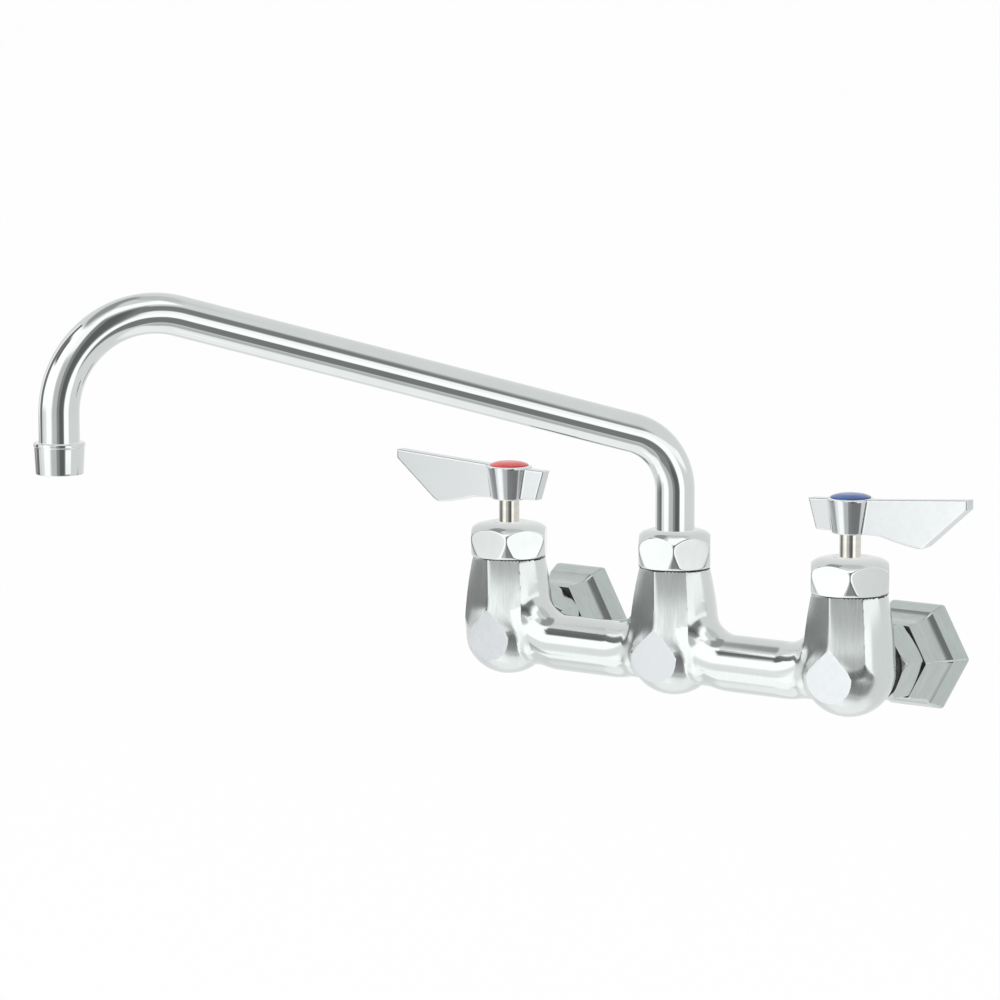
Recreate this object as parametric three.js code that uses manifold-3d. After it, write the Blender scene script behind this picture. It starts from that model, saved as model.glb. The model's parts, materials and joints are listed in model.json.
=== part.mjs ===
// A commercial wall faucet: a cast body between two wall inlets, two quarter-turn ceramic
// valves with wing levers, and a 12 in swing spout. Millimetres, +Z up.
// The origin is on the wall, midway between the two supply inlets. +X runs to the right for
// someone who faces the faucet, +Y runs into the wall.
import * as THREE from "three";
import { mergeVertices } from "three/addons/utils/BufferGeometryUtils.js";
import Module from "manifold-3d";

const wasm = await Module();
wasm.setup();

// Driving dimensions. Heights are above the axis of the inlets, unless a comment says more.
const INLET_CENTRES = 203.2; // 8 in between the supplies
const WALL_TO_AXIS = 60; // the wall to the upright axes of the three towers
const FIT = 0.3; // gap between pieces that touch
const RUNNING_FIT = 0.35; // radial gap round a piece that turns

const BULB_RADIUS = 22.2; // rounded foot of each tower
const VALVE_TOWER_HEIGHT = 36.7;
const VALVE_TOWER_TOP_RADIUS = 17.9;
const CENTRE_TOWER_HEIGHT = 40.2;
const CENTRE_TOWER_TOP_RADIUS = 16.9;
const CROSS_TUBE_RADIUS = 13.8;
const CROSS_TUBE_DROP = 3.7; // its axis below the inlets' axis
const TOWER_FILLET = 9.5; // inner bend where the cross tube sweeps up into a tower
const VALVE_TOWER_FLAT = 17.3; // the teardrop flat on its front, from the tower's axis
const CENTRE_TOWER_FLAT = 16.8;
const RIDGE_SLOPE_DEG = 14; // each face beside the front ridge, from the plane of the wall
const FLAT_TIP_HEIGHT = 13; // where the teardrop flat starts on the ridge
const RIDGE_LEAN_ABOVE = 0.034; // the ridge's way out per millimetre above that tip
const RIDGE_LEAN_BELOW = 0.24; // and per millimetre below it

const COUPLING_THREAD_RADIUS = 14.3; // outside of the inlet boss
const BOSS_LENGTH = 26; // from the tower's axis to the end of the inlet boss
const SPOT_FACE_FROM_AXIS = 17.4; // machined face round the boss
const COUPLING_NUT_FLATS = 34;
const COUPLING_NUT_FRONT = 18; // its front face, from the tower's axis
const COUPLING_NUT_LIP = 3.3; // rear wall that draws the tailpiece in
const HOT_COUPLING_TURN_DEG = 35;
const COLD_COUPLING_TURN_DEG = -6.5;
const TAILPIECE_RADIUS = 10;
const TAILPIECE_COLLAR = 3;
const UNION_WASHER_THICKNESS = 1.8;
const WATERWAY_RADIUS = 5.5;

const FLANGE_FLATS = 50.3; // hexagonal wall flange, across its flats at the wall
const FLANGE_DEPTH = 25;
const FLANGE_RIM = 8.7;
const FLANGE_RIM_INSET = 3.2; // the rim's front corner, inside its rear corner
const FLANGE_NECK_RADIUS = 21; // corner radius of the neck that meets the coupling nut
const SUPPLY_THREAD_RADIUS = 10.4; // 1/2 in pipe thread
const SUPPLY_THREAD_DEPTH = 11;

const BONNET_FLATS = 36.7;
const BONNET_HEX_HEIGHT = 14;
const BONNET_DOME = 3;
const SPOUT_NUT_FLATS = 34.6;
const SPOUT_NUT_HEX_HEIGHT = 14.5;
const SPOUT_NUT_DOME = 3.5;
const NUT_CORNER_DEG = -56; // direction of a corner of each nut, from +X

const VALVE_THREAD_RADIUS = 14.5;
const VALVE_THREAD_LENGTH = 8.5;
const VALVE_CHAMBER_RADIUS = 11.5;
const VALVE_CHAMBER_FLOOR = 10;
const SEAT_PORT_RADIUS = 5;
const MIX_PORT_RADIUS = 2.8;
const MIX_PORT_OFFSET = 8.6;
const CARTRIDGE_WALL = 1.2;
const CARTRIDGE_FLANGE = 3;
const CARTRIDGE_NECK_WALL = 2.7;
const SEAT_SEAL_HEIGHT = 4.2;
const DISC_THICKNESS = 3;
const DISC_PORT_RADIUS = 2.4;
const DISC_PORT_OFFSET = 5.4;
const STEM_RADIUS = 5.1;
const STEM_TANG = 3;
const STEM_COLLAR = 4;
const STEM_SPLINE_RADIUS = 4;
const STEM_O_RING_SECTION = 0.95;

const LEVER_BASE_HEIGHT = 65.2; // underside of the hub
const LEVER_HUB_HEIGHT = 16.2;
const LEVER_HUB_BASE_RADIUS = 8.7;
const LEVER_HUB_TOP_RADIUS = 11.4;
const LEVER_THICKNESS = 6;
const LEVER_LENGTH = 66; // from the stem's axis to the tip
const LEVER_STUB = 22.2; // the short end, on the other side of the stem
const LEVER_TIP_RISE = 4.6; // the tip's top edge above the hub's top
const LEVER_TIP_EDGE = 4.5;
const LEVER_KNEE = 41; // lowest point, along the lever
const LEVER_KNEE_DROP = 4; // that point below the hub's underside
const HOT_LEVER_TURN_DEG = 4.3; // set towards the user from straight out to the left
const COLD_LEVER_TURN_DEG = 0;
const BUTTON_RADIUS = 9.7;
const BUTTON_DOME = 2.4;
const BUTTON_PLUG_RADIUS = 6;
const SCREW_SHANK_RADIUS = 2;
const SCREW_HEAD_RADIUS = 4;
const SCREW_HEAD_HEIGHT = 2.6;

const SPOUT_REACH = 304.8; // 12 in from the tower's axis to the outlet's axis
const SPOUT_TUBE_RADIUS = 9.525; // 3/4 in tube
const SPOUT_TUBE_WALL = 1.2;
const SPOUT_CORNER_HEIGHT = 100; // where the axes of the post and the long run cross
const SPOUT_RISE_DEG = 15.6;
const SPOUT_POST_BEND = 30;
const SPOUT_TIP_BEND = 45;
const SPOUT_TURN_DEG = -122.3; // direction of the spout from +X, 32 degrees left of straight out
const OUTLET_HEIGHT = 98;
const NOZZLE_LENGTH = 14.8;
const NOZZLE_WALL = 1.6; // at its lower end
const NOZZLE_FLARE = 0.9; // how much wider it is at its top
const NOZZLE_LIP = 0.9;
const SHANK_WALL = 2.2; // brass sleeve on the tube's lower end
const SHANK_FOOT_HEIGHT = 14;
const SHANK_FLANGE = 3.2;
const SHANK_GROOVE_DEPTH = 2;
const SHANK_GROOVE_WIDTH = 2.6;
const SHANK_GROOVE_HEIGHTS = [20, 27];
const SPOUT_O_RING_SECTION = 0.95;
const SPOUT_THREAD_LENGTH = 8.3;
const THRUST_WASHER_THICKNESS = 1.3;

const ROUND = 24; // sides of a large turned surface
const SMALL_ROUND = 14; // sides of a small one

const METALS = {
  castChrome: finish(0xc9cdcc, 0.32, 1),
  brightChrome: finish(0xe6e9ea, 0.08, 1),
  satinChrome: finish(0xdadee2, 0.38, 0.9),
  nickel: finish(0xcfc6b4, 0.15, 1),
  brass: finish(0xb89a55, 0.35, 1),
  steel: finish(0xb9bcbf, 0.3, 1),
};
const CERAMIC = finish(0xf0eee6, 0.25, 0);
const RUBBER = finish(0x1d1d1f, 0.7, 0);
const FIBRE = finish(0x7a2e22, 0.8, 0);
const ACETAL = finish(0xe8e8e4, 0.45, 0);
const RED = finish(0xc23a3c, 0.3, 0);
const BLUE = finish(0x2c4f9e, 0.3, 0);

function finish(color, roughness, metalness) {
  return { color, roughness, metalness };
}

// A geometry as a solid that can be joined and cut.
function toSolid(geometry) {
  const bare = geometry.clone();
  bare.deleteAttribute("normal");
  bare.deleteAttribute("uv");
  const merged = mergeVertices(bare, 1e-4);
  return new wasm.Manifold(
    new wasm.Mesh({
      numProp: 3,
      vertProperties: new Float32Array(merged.attributes.position.array),
      triVerts: new Uint32Array(merged.index.array),
    }),
  );
}

function toGeometry(solid) {
  const { vertProperties, triVerts } = solid.getMesh();
  const geometry = new THREE.BufferGeometry();
  geometry.setAttribute("position", new THREE.BufferAttribute(vertProperties, 3));
  geometry.setIndex(new THREE.BufferAttribute(triVerts, 1));
  return geometry;
}

function join(...shapes) {
  return toGeometry(shapes.map(toSolid).reduce((sum, next) => sum.add(next)));
}

function cut(base, ...tools) {
  return toGeometry(tools.map(toSolid).reduce((rest, tool) => rest.subtract(tool), toSolid(base)));
}

function overlap(a, b) {
  return toGeometry(toSolid(a).intersect(toSolid(b)));
}

// A turned piece about Z. The outline is a list of [radius, height], going up its outside. It
// starts and ends on the axis, or it closes on itself as a ring.
function turned(outline, sides = ROUND) {
  const points = outline.map(([radius, height]) => new THREE.Vector2(radius, height));
  if (outline[0][0] > 0) points.push(points[0].clone());
  return new THREE.LatheGeometry(points, sides).rotateX(Math.PI / 2);
}

// A plain cylinder about Z from one height to another.
function rod(radius, from, to, sides = ROUND) {
  return turned([[0, from], [radius, from], [radius, to], [0, to]], sides);
}

function ring(inner, outer, from, to, sides = ROUND) {
  return turned([[inner, from], [outer, from], [outer, to], [inner, to]], sides);
}

// A block between two heights, centred on the Z axis.
function block(width, depth, from, to) {
  return new THREE.BoxGeometry(width, depth, to - from).translate(0, 0, (from + to) / 2);
}

// A hexagonal prism about Z, with one corner in the direction cornerDeg.
function hexagon(flats, from, to, cornerDeg) {
  const corner = flats / 2 / Math.cos(Math.PI / 6);
  return rod(corner, from, to, 6).rotateZ(THREE.MathUtils.degToRad(cornerDeg) + Math.PI / 2);
}

// Turns a piece that was made about Z so that its +Z end points at the wall (+Y).
function towardsWall(geometry) {
  return geometry.rotateX(-Math.PI / 2);
}

// Points of an arc, as [radius, height] about a centre, at equal steps between two angles.
function arcPoints(centreRadius, centreHeight, arcRadius, fromDeg, toDeg, steps) {
  return Array.from({ length: steps + 1 }, (_, i) => {
    const angle = THREE.MathUtils.degToRad(fromDeg + ((toDeg - fromDeg) * i) / steps);
    return [centreRadius + arcRadius * Math.cos(angle), centreHeight + arcRadius * Math.sin(angle)];
  });
}

function torus(middleRadius, sectionRadius, height, sides = SMALL_ROUND) {
  return turned(arcPoints(middleRadius, height, sectionRadius, 0, 315, 7), sides);
}

function addPiece(group, name, geometry, { color, roughness, metalness }) {
  const mesh = new THREE.Mesh(
    geometry,
    new THREE.MeshStandardMaterial({ color, roughness, metalness }),
  );
  mesh.name = name;
  group.add(mesh);
}

// --- Body casting -------------------------------------------------------------------------

// The pear-shaped outside of one tower. Its front is pinched into an upright ridge by two faces
// that slope away from it, and a teardrop flat is ground on its foot.
function tower(topRadius, height, flat) {
  const foot = arcPoints(0, 0, BULB_RADIUS, -90, 0, 6);
  foot[0][0] = 0;
  const rings = [
    FLAT_TIP_HEIGHT / 2,
    ...[0, 1 / 3, 2 / 3, 1].map((share) => FLAT_TIP_HEIGHT + (height - FLAT_TIP_HEIGHT) * share),
  ];
  const rise = rings.map((z) => [pearRadius(topRadius, height, z), z]);
  const pear = turned([...foot, ...rise, [0, height]]);
  pinchFront(pear, flat);
  return cut(pear, frontFlat(flat));
}

// The side of a pear is the quadratic Bezier curve through (bulb, 0), (0.965 bulb, 0.55 height)
// and (topRadius, height), whose height at t is (1.1 t - 0.1 t^2) of the whole.
function pearRadius(topRadius, height, z) {
  const t = (1.1 - Math.sqrt(1.21 - (0.4 * z) / height)) / 0.2;
  return BULB_RADIUS * ((1 - t) ** 2 + 2 * 0.965 * t * (1 - t)) + topRadius * t ** 2;
}

// Moves the front of a turned shape in to two faces that meet at the ridge, which is as far out
// as the flat at the flat's tip.
function pinchFront(geometry, flat) {
  const slope = THREE.MathUtils.degToRad(RIDGE_SLOPE_DEG);
  const position = geometry.attributes.position;
  for (let i = 0; i < position.count; i++) {
    const x = position.getX(i);
    const y = position.getY(i);
    const lift = position.getZ(i) - FLAT_TIP_HEIGHT;
    const ridge = flat + lift * (lift > 0 ? RIDGE_LEAN_ABOVE : -RIDGE_LEAN_BELOW);
    const fromFront = Math.abs(Math.atan2(x, -y));
    const planeRadius = (ridge * Math.cos(slope)) / Math.max(Math.cos(fromFront - slope), 0.1);
    const scale = Math.min(1, planeRadius / Math.max(Math.hypot(x, y), FIT));
    position.setXY(i, x * scale, y * scale);
  }
}

// What is ground away in front of the teardrop, as a large block.
function frontFlat(flat) {
  const size = 4 * BULB_RADIUS;
  return block(size, size, FLAT_TIP_HEIGHT - size, FLAT_TIP_HEIGHT).translate(
    0,
    -flat - size / 2,
    0,
  );
}

// The sweep that carries the cross tube up into a tower's side, towards +X.
function elbow(towerRadius) {
  const bend = TOWER_FILLET + CROSS_TUBE_RADIUS;
  const centreX = towerRadius + TOWER_FILLET;
  const centreZ = bend - CROSS_TUBE_DROP;
  const stations = arcPoints(centreX, centreZ, bend, 180, 270, 5).map(
    ([x, z]) => new THREE.Vector3(x, 0, z),
  );
  return pipe(stations, CROSS_TUBE_RADIUS, 0, 18);
}

// A curve through given stations. Equal steps of its parameter fall on the stations, so that a
// straight stretch needs few of them and a bend gets many.
class StationCurve extends THREE.Curve {
  constructor(stations) {
    super();
    this.stations = stations;
  }
  getUtoTmapping(u) {
    return u;
  }
  getPoint(t, target = new THREE.Vector3()) {
    const place = Math.min(Math.max(t, 0), 1) * (this.stations.length - 1);
    const index = Math.min(Math.floor(place), this.stations.length - 2);
    return target.lerpVectors(this.stations[index], this.stations[index + 1], place - index);
  }
}

// A round bar or tube through stations.
function pipe(stations, outer, inner, sides) {
  const section = new THREE.Shape(circlePoints(outer, sides));
  if (inner > 0) section.holes.push(new THREE.Path(circlePoints(inner, sides)));
  return new THREE.ExtrudeGeometry(section, {
    extrudePath: new StationCurve(stations),
    steps: stations.length - 1,
    bevelEnabled: false,
  });
}

function circlePoints(radius, sides) {
  return Array.from({ length: sides }, (_, i) => {
    const angle = (2 * Math.PI * i) / sides;
    return new THREE.Vector2(radius * Math.cos(angle), radius * Math.sin(angle));
  });
}

const halfCentres = INLET_CENTRES / 2;
const valveRimTop = VALVE_TOWER_HEIGHT + VALVE_THREAD_LENGTH;
const spoutRimTop = CENTRE_TOWER_HEIGHT + SPOUT_THREAD_LENGTH;
const shankRadius = SPOUT_TUBE_RADIUS + SHANK_WALL;
const shankBore = shankRadius + RUNNING_FIT;
const spoutThreadRadius = shankBore + 2;

function faucetBody() {
  const sides = [-1, 1];
  const pears = sides.map((side) =>
    tower(VALVE_TOWER_TOP_RADIUS, VALVE_TOWER_HEIGHT, VALVE_TOWER_FLAT).translate(
      side * halfCentres,
      0,
      0,
    ),
  );
  const tube = rod(CROSS_TUBE_RADIUS, -halfCentres, halfCentres)
    .rotateY(Math.PI / 2)
    .translate(0, 0, -CROSS_TUBE_DROP);
  const sweeps = sides.flatMap((side) => [
    elbow(BULB_RADIUS - 1).rotateZ(side > 0 ? 0 : Math.PI),
    elbow(BULB_RADIUS - 1)
      .rotateZ(side > 0 ? Math.PI : 0)
      .translate(side * halfCentres, 0, 0),
  ]);
  const outside = join(
    tower(CENTRE_TOWER_TOP_RADIUS, CENTRE_TOWER_HEIGHT, CENTRE_TOWER_FLAT),
    ...pears,
    tube,
    ...sweeps,
  );
  const nutCorner = COUPLING_NUT_FLATS / 2 / Math.cos(Math.PI / 6);
  const spotFaces = sides.map((side) =>
    towardsWall(rod(nutCorner + 1, SPOT_FACE_FROM_AXIS, BOSS_LENGTH)).translate(
      side * halfCentres,
      0,
      0,
    ),
  );
  const faced = cut(outside, ...spotFaces);
  const bosses = sides.map((side) =>
    towardsWall(rod(COUPLING_THREAD_RADIUS, 0, BOSS_LENGTH)).translate(side * halfCentres, 0, 0),
  );
  const valveRims = sides.map((side) =>
    rod(VALVE_THREAD_RADIUS, VALVE_TOWER_HEIGHT - 1, valveRimTop).translate(side * halfCentres, 0, 0),
  );
  const spoutRim = rod(spoutThreadRadius, CENTRE_TOWER_HEIGHT - 1, spoutRimTop);
  return cut(join(faced, ...bosses, ...valveRims, spoutRim), ...waterways());
}

// The bores of the casting: from each inlet up to its valve seat, from each valve chamber down
// to the mixing passage, along it to the centre, and up to the spout.
function waterways() {
  const sides = [-1, 1];
  const passage = halfCentres - MIX_PORT_OFFSET;
  const perSide = sides.flatMap((side) => {
    const pieces = [
      towardsWall(rod(WATERWAY_RADIUS, 0, BOSS_LENGTH + 1, SMALL_ROUND)),
      rod(SEAT_PORT_RADIUS, -1, VALVE_CHAMBER_FLOOR + 1, SMALL_ROUND),
      rod(VALVE_CHAMBER_RADIUS, VALVE_CHAMBER_FLOOR, valveRimTop + 1),
      rod(MIX_PORT_RADIUS, -CROSS_TUBE_DROP, VALVE_CHAMBER_FLOOR + 1, 12).translate(
        -side * MIX_PORT_OFFSET,
        0,
        0,
      ),
    ];
    return pieces.map((piece) => piece.translate(side * halfCentres, 0, 0));
  });
  const along = rod(WATERWAY_RADIUS, -passage, passage, SMALL_ROUND)
    .rotateY(Math.PI / 2)
    .translate(0, 0, -CROSS_TUBE_DROP);
  const spoutBore = rod(shankBore, SHANK_FOOT_HEIGHT - FIT, spoutRimTop + 1);
  const spoutPort = rod(WATERWAY_RADIUS, -CROSS_TUBE_DROP, SHANK_FOOT_HEIGHT, SMALL_ROUND);
  return [...perSide, along, spoutBore, spoutPort];
}

// --- Nuts ---------------------------------------------------------------------------------

// A hexagonal nut with a domed top and a foot that is coned inwards, bored for its thread and
// for the flange that it clamps, with a smaller hole through its roof.
function domedNut({ flats, hexHeight, dome, boreRadius, boreHeight, holeRadius }) {
  const corner = flats / 2 / Math.cos(Math.PI / 6);
  const top = hexHeight + dome;
  const crown = holeRadius + 2.5;
  const envelope = turned([
    [0, 0],
    [flats / 2 - 0.6, 0],
    [corner - 0.6, hexHeight * 0.45],
    [corner - 0.1, hexHeight * 0.7],
    [corner - 1.1, hexHeight * 0.87],
    [flats / 2 - 0.3, hexHeight],
    [(flats / 2 + crown) / 2 + 1.2, top - dome * 0.35],
    [crown, top],
    [0, top],
  ]);
  const shape = overlap(envelope, hexagon(flats, 0, top, NUT_CORNER_DEG));
  return cut(
    shape,
    rod(boreRadius, -1, boreHeight),
    rod(holeRadius, 0, top + 1, SMALL_ROUND),
  );
}

// The nut that draws the wall flange's tailpiece onto the inlet boss. Its front is chamfered.
function couplingNut(turnDeg) {
  const corner = COUPLING_NUT_FLATS / 2 / Math.cos(Math.PI / 6);
  const rear = couplingNutRear;
  const chamfer = 1.8;
  const envelope = turned([
    [0, COUPLING_NUT_FRONT],
    [corner - chamfer * 1.6, COUPLING_NUT_FRONT],
    [corner, COUPLING_NUT_FRONT + chamfer * 1.6],
    [corner, rear - chamfer / 2],
    [corner - chamfer, rear],
    [0, rear],
  ]);
  const shape = overlap(envelope, hexagon(COUPLING_NUT_FLATS, COUPLING_NUT_FRONT, rear, turnDeg));
  return towardsWall(
    cut(
      shape,
      rod(COUPLING_THREAD_RADIUS + FIT, COUPLING_NUT_FRONT - 1, rear - COUPLING_NUT_LIP),
      rod(TAILPIECE_RADIUS + FIT, COUPLING_NUT_FRONT, rear + 1, SMALL_ROUND),
    ),
  );
}

const washerStart = BOSS_LENGTH + FIT;
const collarStart = washerStart + UNION_WASHER_THICKNESS + FIT;
const couplingNutRear = collarStart + TAILPIECE_COLLAR + FIT + COUPLING_NUT_LIP;
const flangeFront = WALL_TO_AXIS - FLANGE_DEPTH;

function unionWasher() {
  const outer = COUPLING_THREAD_RADIUS - 1;
  return towardsWall(
    ring(WATERWAY_RADIUS + 1, outer, washerStart, washerStart + UNION_WASHER_THICKNESS, SMALL_ROUND),
  );
}

// The tailpiece: a collar held by the coupling nut, and a threaded tube that screws into the
// wall flange as far as its supply thread.
function tailpiece() {
  const inner = WATERWAY_RADIUS + 1;
  const end = WALL_TO_AXIS - SUPPLY_THREAD_DEPTH;
  const collarEnd = collarStart + TAILPIECE_COLLAR;
  return towardsWall(
    turned(
      [
        [inner, collarStart],
        [COUPLING_THREAD_RADIUS - 1, collarStart],
        [COUPLING_THREAD_RADIUS - 1, collarEnd],
        [TAILPIECE_RADIUS, collarEnd],
        [TAILPIECE_RADIUS, end],
        [inner, end],
      ],
      24,
    ),
  );
}

// A hexagonal bell: a neck as wide as the coupling nut, sweeping out in a hollow curve to a
// tapered rim on the wall.
function wallFlange() {
  const outline = flangeOutline();
  const bell = turned([[0, outline[0][1]], ...outline, [0, WALL_TO_AXIS]], 6).rotateZ(Math.PI / 2);
  return towardsWall(
    cut(
      bell,
      rod(TAILPIECE_RADIUS + FIT, flangeFront - 1, WALL_TO_AXIS, SMALL_ROUND),
      rod(
        SUPPLY_THREAD_RADIUS,
        WALL_TO_AXIS - SUPPLY_THREAD_DEPTH + FIT,
        WALL_TO_AXIS + 1,
        SMALL_ROUND,
      ),
    ),
  );
}

// Corner radii of the flange from its neck to the wall, as [radius, distance from the axis].
function flangeOutline() {
  const rimCorner = FLANGE_FLATS / 2 / Math.cos(Math.PI / 6);
  const rimFront = WALL_TO_AXIS - FLANGE_RIM;
  const sweep = new THREE.QuadraticBezierCurve(
    new THREE.Vector2(FLANGE_NECK_RADIUS, flangeFront + 3),
    new THREE.Vector2(FLANGE_NECK_RADIUS, rimFront),
    new THREE.Vector2(rimCorner - FLANGE_RIM_INSET, rimFront),
  );
  return [
    [FLANGE_NECK_RADIUS - 1.5, flangeFront],
    ...sweep.getPoints(5).map((point) => [point.x, point.y]),
    [rimCorner, WALL_TO_AXIS - 1.5],
    [rimCorner, WALL_TO_AXIS],
  ];
}

// --- Valves -------------------------------------------------------------------------------

const bonnetFoot = VALVE_TOWER_HEIGHT + FIT;
const bonnetTop = bonnetFoot + BONNET_HEX_HEIGHT + BONNET_DOME;
const seatSealTop = VALVE_CHAMBER_FLOOR + FIT + SEAT_SEAL_HEIGHT;
const fixedDiscFoot = seatSealTop + FIT;
const movingDiscFoot = fixedDiscFoot + DISC_THICKNESS + FIT;
const stemFoot = movingDiscFoot + DISC_THICKNESS + FIT;
const stemCollarFoot = stemFoot + STEM_TANG + 2;
const stemCollarTop = stemCollarFoot + STEM_COLLAR;
const cartridgeRadius = VALVE_CHAMBER_RADIUS - FIT;
const cartridgeBore = cartridgeRadius - CARTRIDGE_WALL;
const cartridgeFlangeFoot = valveRimTop + FIT;
const cartridgeFlangeTop = cartridgeFlangeFoot + CARTRIDGE_FLANGE;
const cartridgeNeck = STEM_RADIUS + RUNNING_FIT + CARTRIDGE_NECK_WALL;
const oRingHeight = cartridgeFlangeTop - 4;
const leverHubTop = LEVER_BASE_HEIGHT + LEVER_HUB_HEIGHT;
const buttonFoot = leverHubTop + FIT;
const screwHeadFoot = buttonFoot - 2 - SCREW_HEAD_HEIGHT - FIT;

// The cartridge's brass shell. It holds the discs in its open foot, has two side windows for
// the water, and a groove for the stem's seal in its neck.
function cartridgeBody() {
  const flangeRadius = VALVE_THREAD_RADIUS - 1.2;
  const shell = turned([
    [cartridgeBore, seatSealTop],
    [cartridgeRadius, seatSealTop],
    [cartridgeRadius, cartridgeFlangeFoot],
    [flangeRadius, cartridgeFlangeFoot],
    [flangeRadius, cartridgeFlangeTop],
    [cartridgeNeck, cartridgeFlangeTop],
    [cartridgeNeck, bonnetTop],
    [STEM_RADIUS + RUNNING_FIT, bonnetTop],
    [STEM_RADIUS + RUNNING_FIT, stemCollarTop + FIT],
    [cartridgeBore, stemCollarTop + FIT],
  ]);
  const window = block(4 * cartridgeRadius, 7, stemFoot - 1, stemCollarFoot + 1);
  const grooveRadius = STEM_RADIUS + 2 * STEM_O_RING_SECTION + 2 * FIT;
  const groove = rod(
    grooveRadius,
    oRingHeight - STEM_O_RING_SECTION - FIT,
    oRingHeight + STEM_O_RING_SECTION + FIT,
    SMALL_ROUND,
  );
  return cut(shell, window, groove);
}

function seatSeal() {
  return ring(
    SEAT_PORT_RADIUS + 1,
    cartridgeBore - FIT,
    VALVE_CHAMBER_FLOOR + FIT,
    seatSealTop,
    SMALL_ROUND,
  );
}

// A ceramic disc with two round ports. The moving one has a slot across its top for the tang.
function ceramicDisc(foot, slotDepth) {
  const top = foot + DISC_THICKNESS;
  const disc = rod(cartridgeBore - RUNNING_FIT, foot, top, 24);
  const ports = [-1, 1].map((side) =>
    rod(DISC_PORT_RADIUS, foot - 1, top + 1, 10).translate(0, side * DISC_PORT_OFFSET, 0),
  );
  const plain = cut(disc, ...ports);
  if (slotDepth === 0) return plain;
  const slotWidth = STEM_TANG + 2 * FIT;
  return cut(plain, block(3 * cartridgeRadius, slotWidth, top - slotDepth, top + 1));
}

// The stem: a tang in the moving disc's slot, a collar under the shell's shoulder, the shaft
// seen under the lever, and a splined end with a tapped hole.
function valveStem() {
  const shoulder = LEVER_BASE_HEIGHT - FIT;
  const splineTop = screwHeadFoot - 2.5;
  const stem = turned([
    [0, stemFoot],
    [STEM_RADIUS, stemFoot],
    [STEM_RADIUS, stemCollarFoot],
    [cartridgeBore - RUNNING_FIT, stemCollarFoot],
    [cartridgeBore - RUNNING_FIT, stemCollarTop],
    [STEM_RADIUS, stemCollarTop],
    [STEM_RADIUS, shoulder],
    [STEM_SPLINE_RADIUS, shoulder],
    [STEM_SPLINE_RADIUS, splineTop],
    [0, splineTop],
  ]);
  const tang = block(1.6 * cartridgeBore, STEM_TANG, stemFoot - 1, stemFoot + STEM_TANG);
  const tapped = rod(SCREW_SHANK_RADIUS + FIT, shoulder - 2, splineTop + 1, 12);
  return cut(join(stem, tang), tapped);
}

// --- Levers -------------------------------------------------------------------------------

// A wing lever that points along +X from the stem's axis: a tapered hub and an upright blade
// with a slanted end and a short stub.
function wingLever() {
  const hub = turned([
    [0, LEVER_BASE_HEIGHT],
    [LEVER_HUB_BASE_RADIUS, LEVER_BASE_HEIGHT],
    [LEVER_HUB_TOP_RADIUS, leverHubTop],
    [0, leverHubTop],
  ]);
  const top = leverHubTop;
  const knee = LEVER_BASE_HEIGHT - LEVER_KNEE_DROP;
  const outline = new THREE.Shape();
  outline.moveTo(-LEVER_STUB, top - 1);
  outline.lineTo(-LEVER_STUB + 4.5, LEVER_BASE_HEIGHT + 0.7);
  outline.lineTo(LEVER_KNEE * 0.45, LEVER_BASE_HEIGHT);
  outline.quadraticCurveTo(LEVER_KNEE * 0.75, knee + 0.6, LEVER_KNEE, knee);
  outline.lineTo(LEVER_KNEE + 2.5, knee + 1.2);
  outline.lineTo(LEVER_LENGTH, top + LEVER_TIP_RISE - LEVER_TIP_EDGE);
  outline.lineTo(LEVER_LENGTH, top + LEVER_TIP_RISE);
  outline.lineTo(LEVER_HUB_TOP_RADIUS, top + 0.6);
  const blade = new THREE.ExtrudeGeometry(outline, {
    depth: LEVER_THICKNESS,
    bevelEnabled: false,
    curveSegments: 6,
  })
    .translate(0, 0, -LEVER_THICKNESS / 2)
    .rotateX(Math.PI / 2);
  const splineHole = rod(
    STEM_SPLINE_RADIUS + FIT,
    LEVER_BASE_HEIGHT - 1,
    screwHeadFoot - 2.5 + FIT,
    SMALL_ROUND,
  );
  return cut(
    join(hub, blade),
    splineHole,
    rod(SCREW_SHANK_RADIUS + FIT, LEVER_BASE_HEIGHT, leverHubTop, 12),
    rod(BUTTON_PLUG_RADIUS + FIT, screwHeadFoot - FIT, leverHubTop + 1, SMALL_ROUND),
    rod(BUTTON_RADIUS + FIT, leverHubTop, leverHubTop + LEVER_TIP_RISE),
  );
}

// Pan-head screw with a cross recess that holds the lever on the stem.
function handleScrew() {
  const shankFoot = LEVER_BASE_HEIGHT + 1;
  const top = screwHeadFoot + SCREW_HEAD_HEIGHT;
  const screw = turned(
    [
      [0, shankFoot],
      [SCREW_SHANK_RADIUS, shankFoot],
      [SCREW_SHANK_RADIUS, screwHeadFoot],
      [SCREW_HEAD_RADIUS, screwHeadFoot],
      [SCREW_HEAD_RADIUS, top - 1],
      [SCREW_HEAD_RADIUS * 0.7, top],
      [0, top],
    ],
    16,
  );
  const slot = block(1.4 * SCREW_HEAD_RADIUS, 0.9, top - 1.3, top + 1);
  return cut(screw, slot, slot.clone().rotateZ(Math.PI / 2));
}

// The coloured index button: a low dome on a plug that snaps into the hub.
function indexButton() {
  const plugFoot = buttonFoot - 2;
  const rim = 0.8;
  const dome = [0.35, 0.65, 0.85, 1].map((share) => [
    BUTTON_RADIUS * (1 - share ** 2),
    buttonFoot + rim + (BUTTON_DOME - rim) * Math.sin((share * Math.PI) / 2),
  ]);
  return turned([
    [0, plugFoot],
    [BUTTON_PLUG_RADIUS, plugFoot],
    [BUTTON_PLUG_RADIUS, buttonFoot],
    [BUTTON_RADIUS, buttonFoot],
    [BUTTON_RADIUS, buttonFoot + rim],
    ...dome,
  ]);
}

// --- Spout --------------------------------------------------------------------------------

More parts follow.
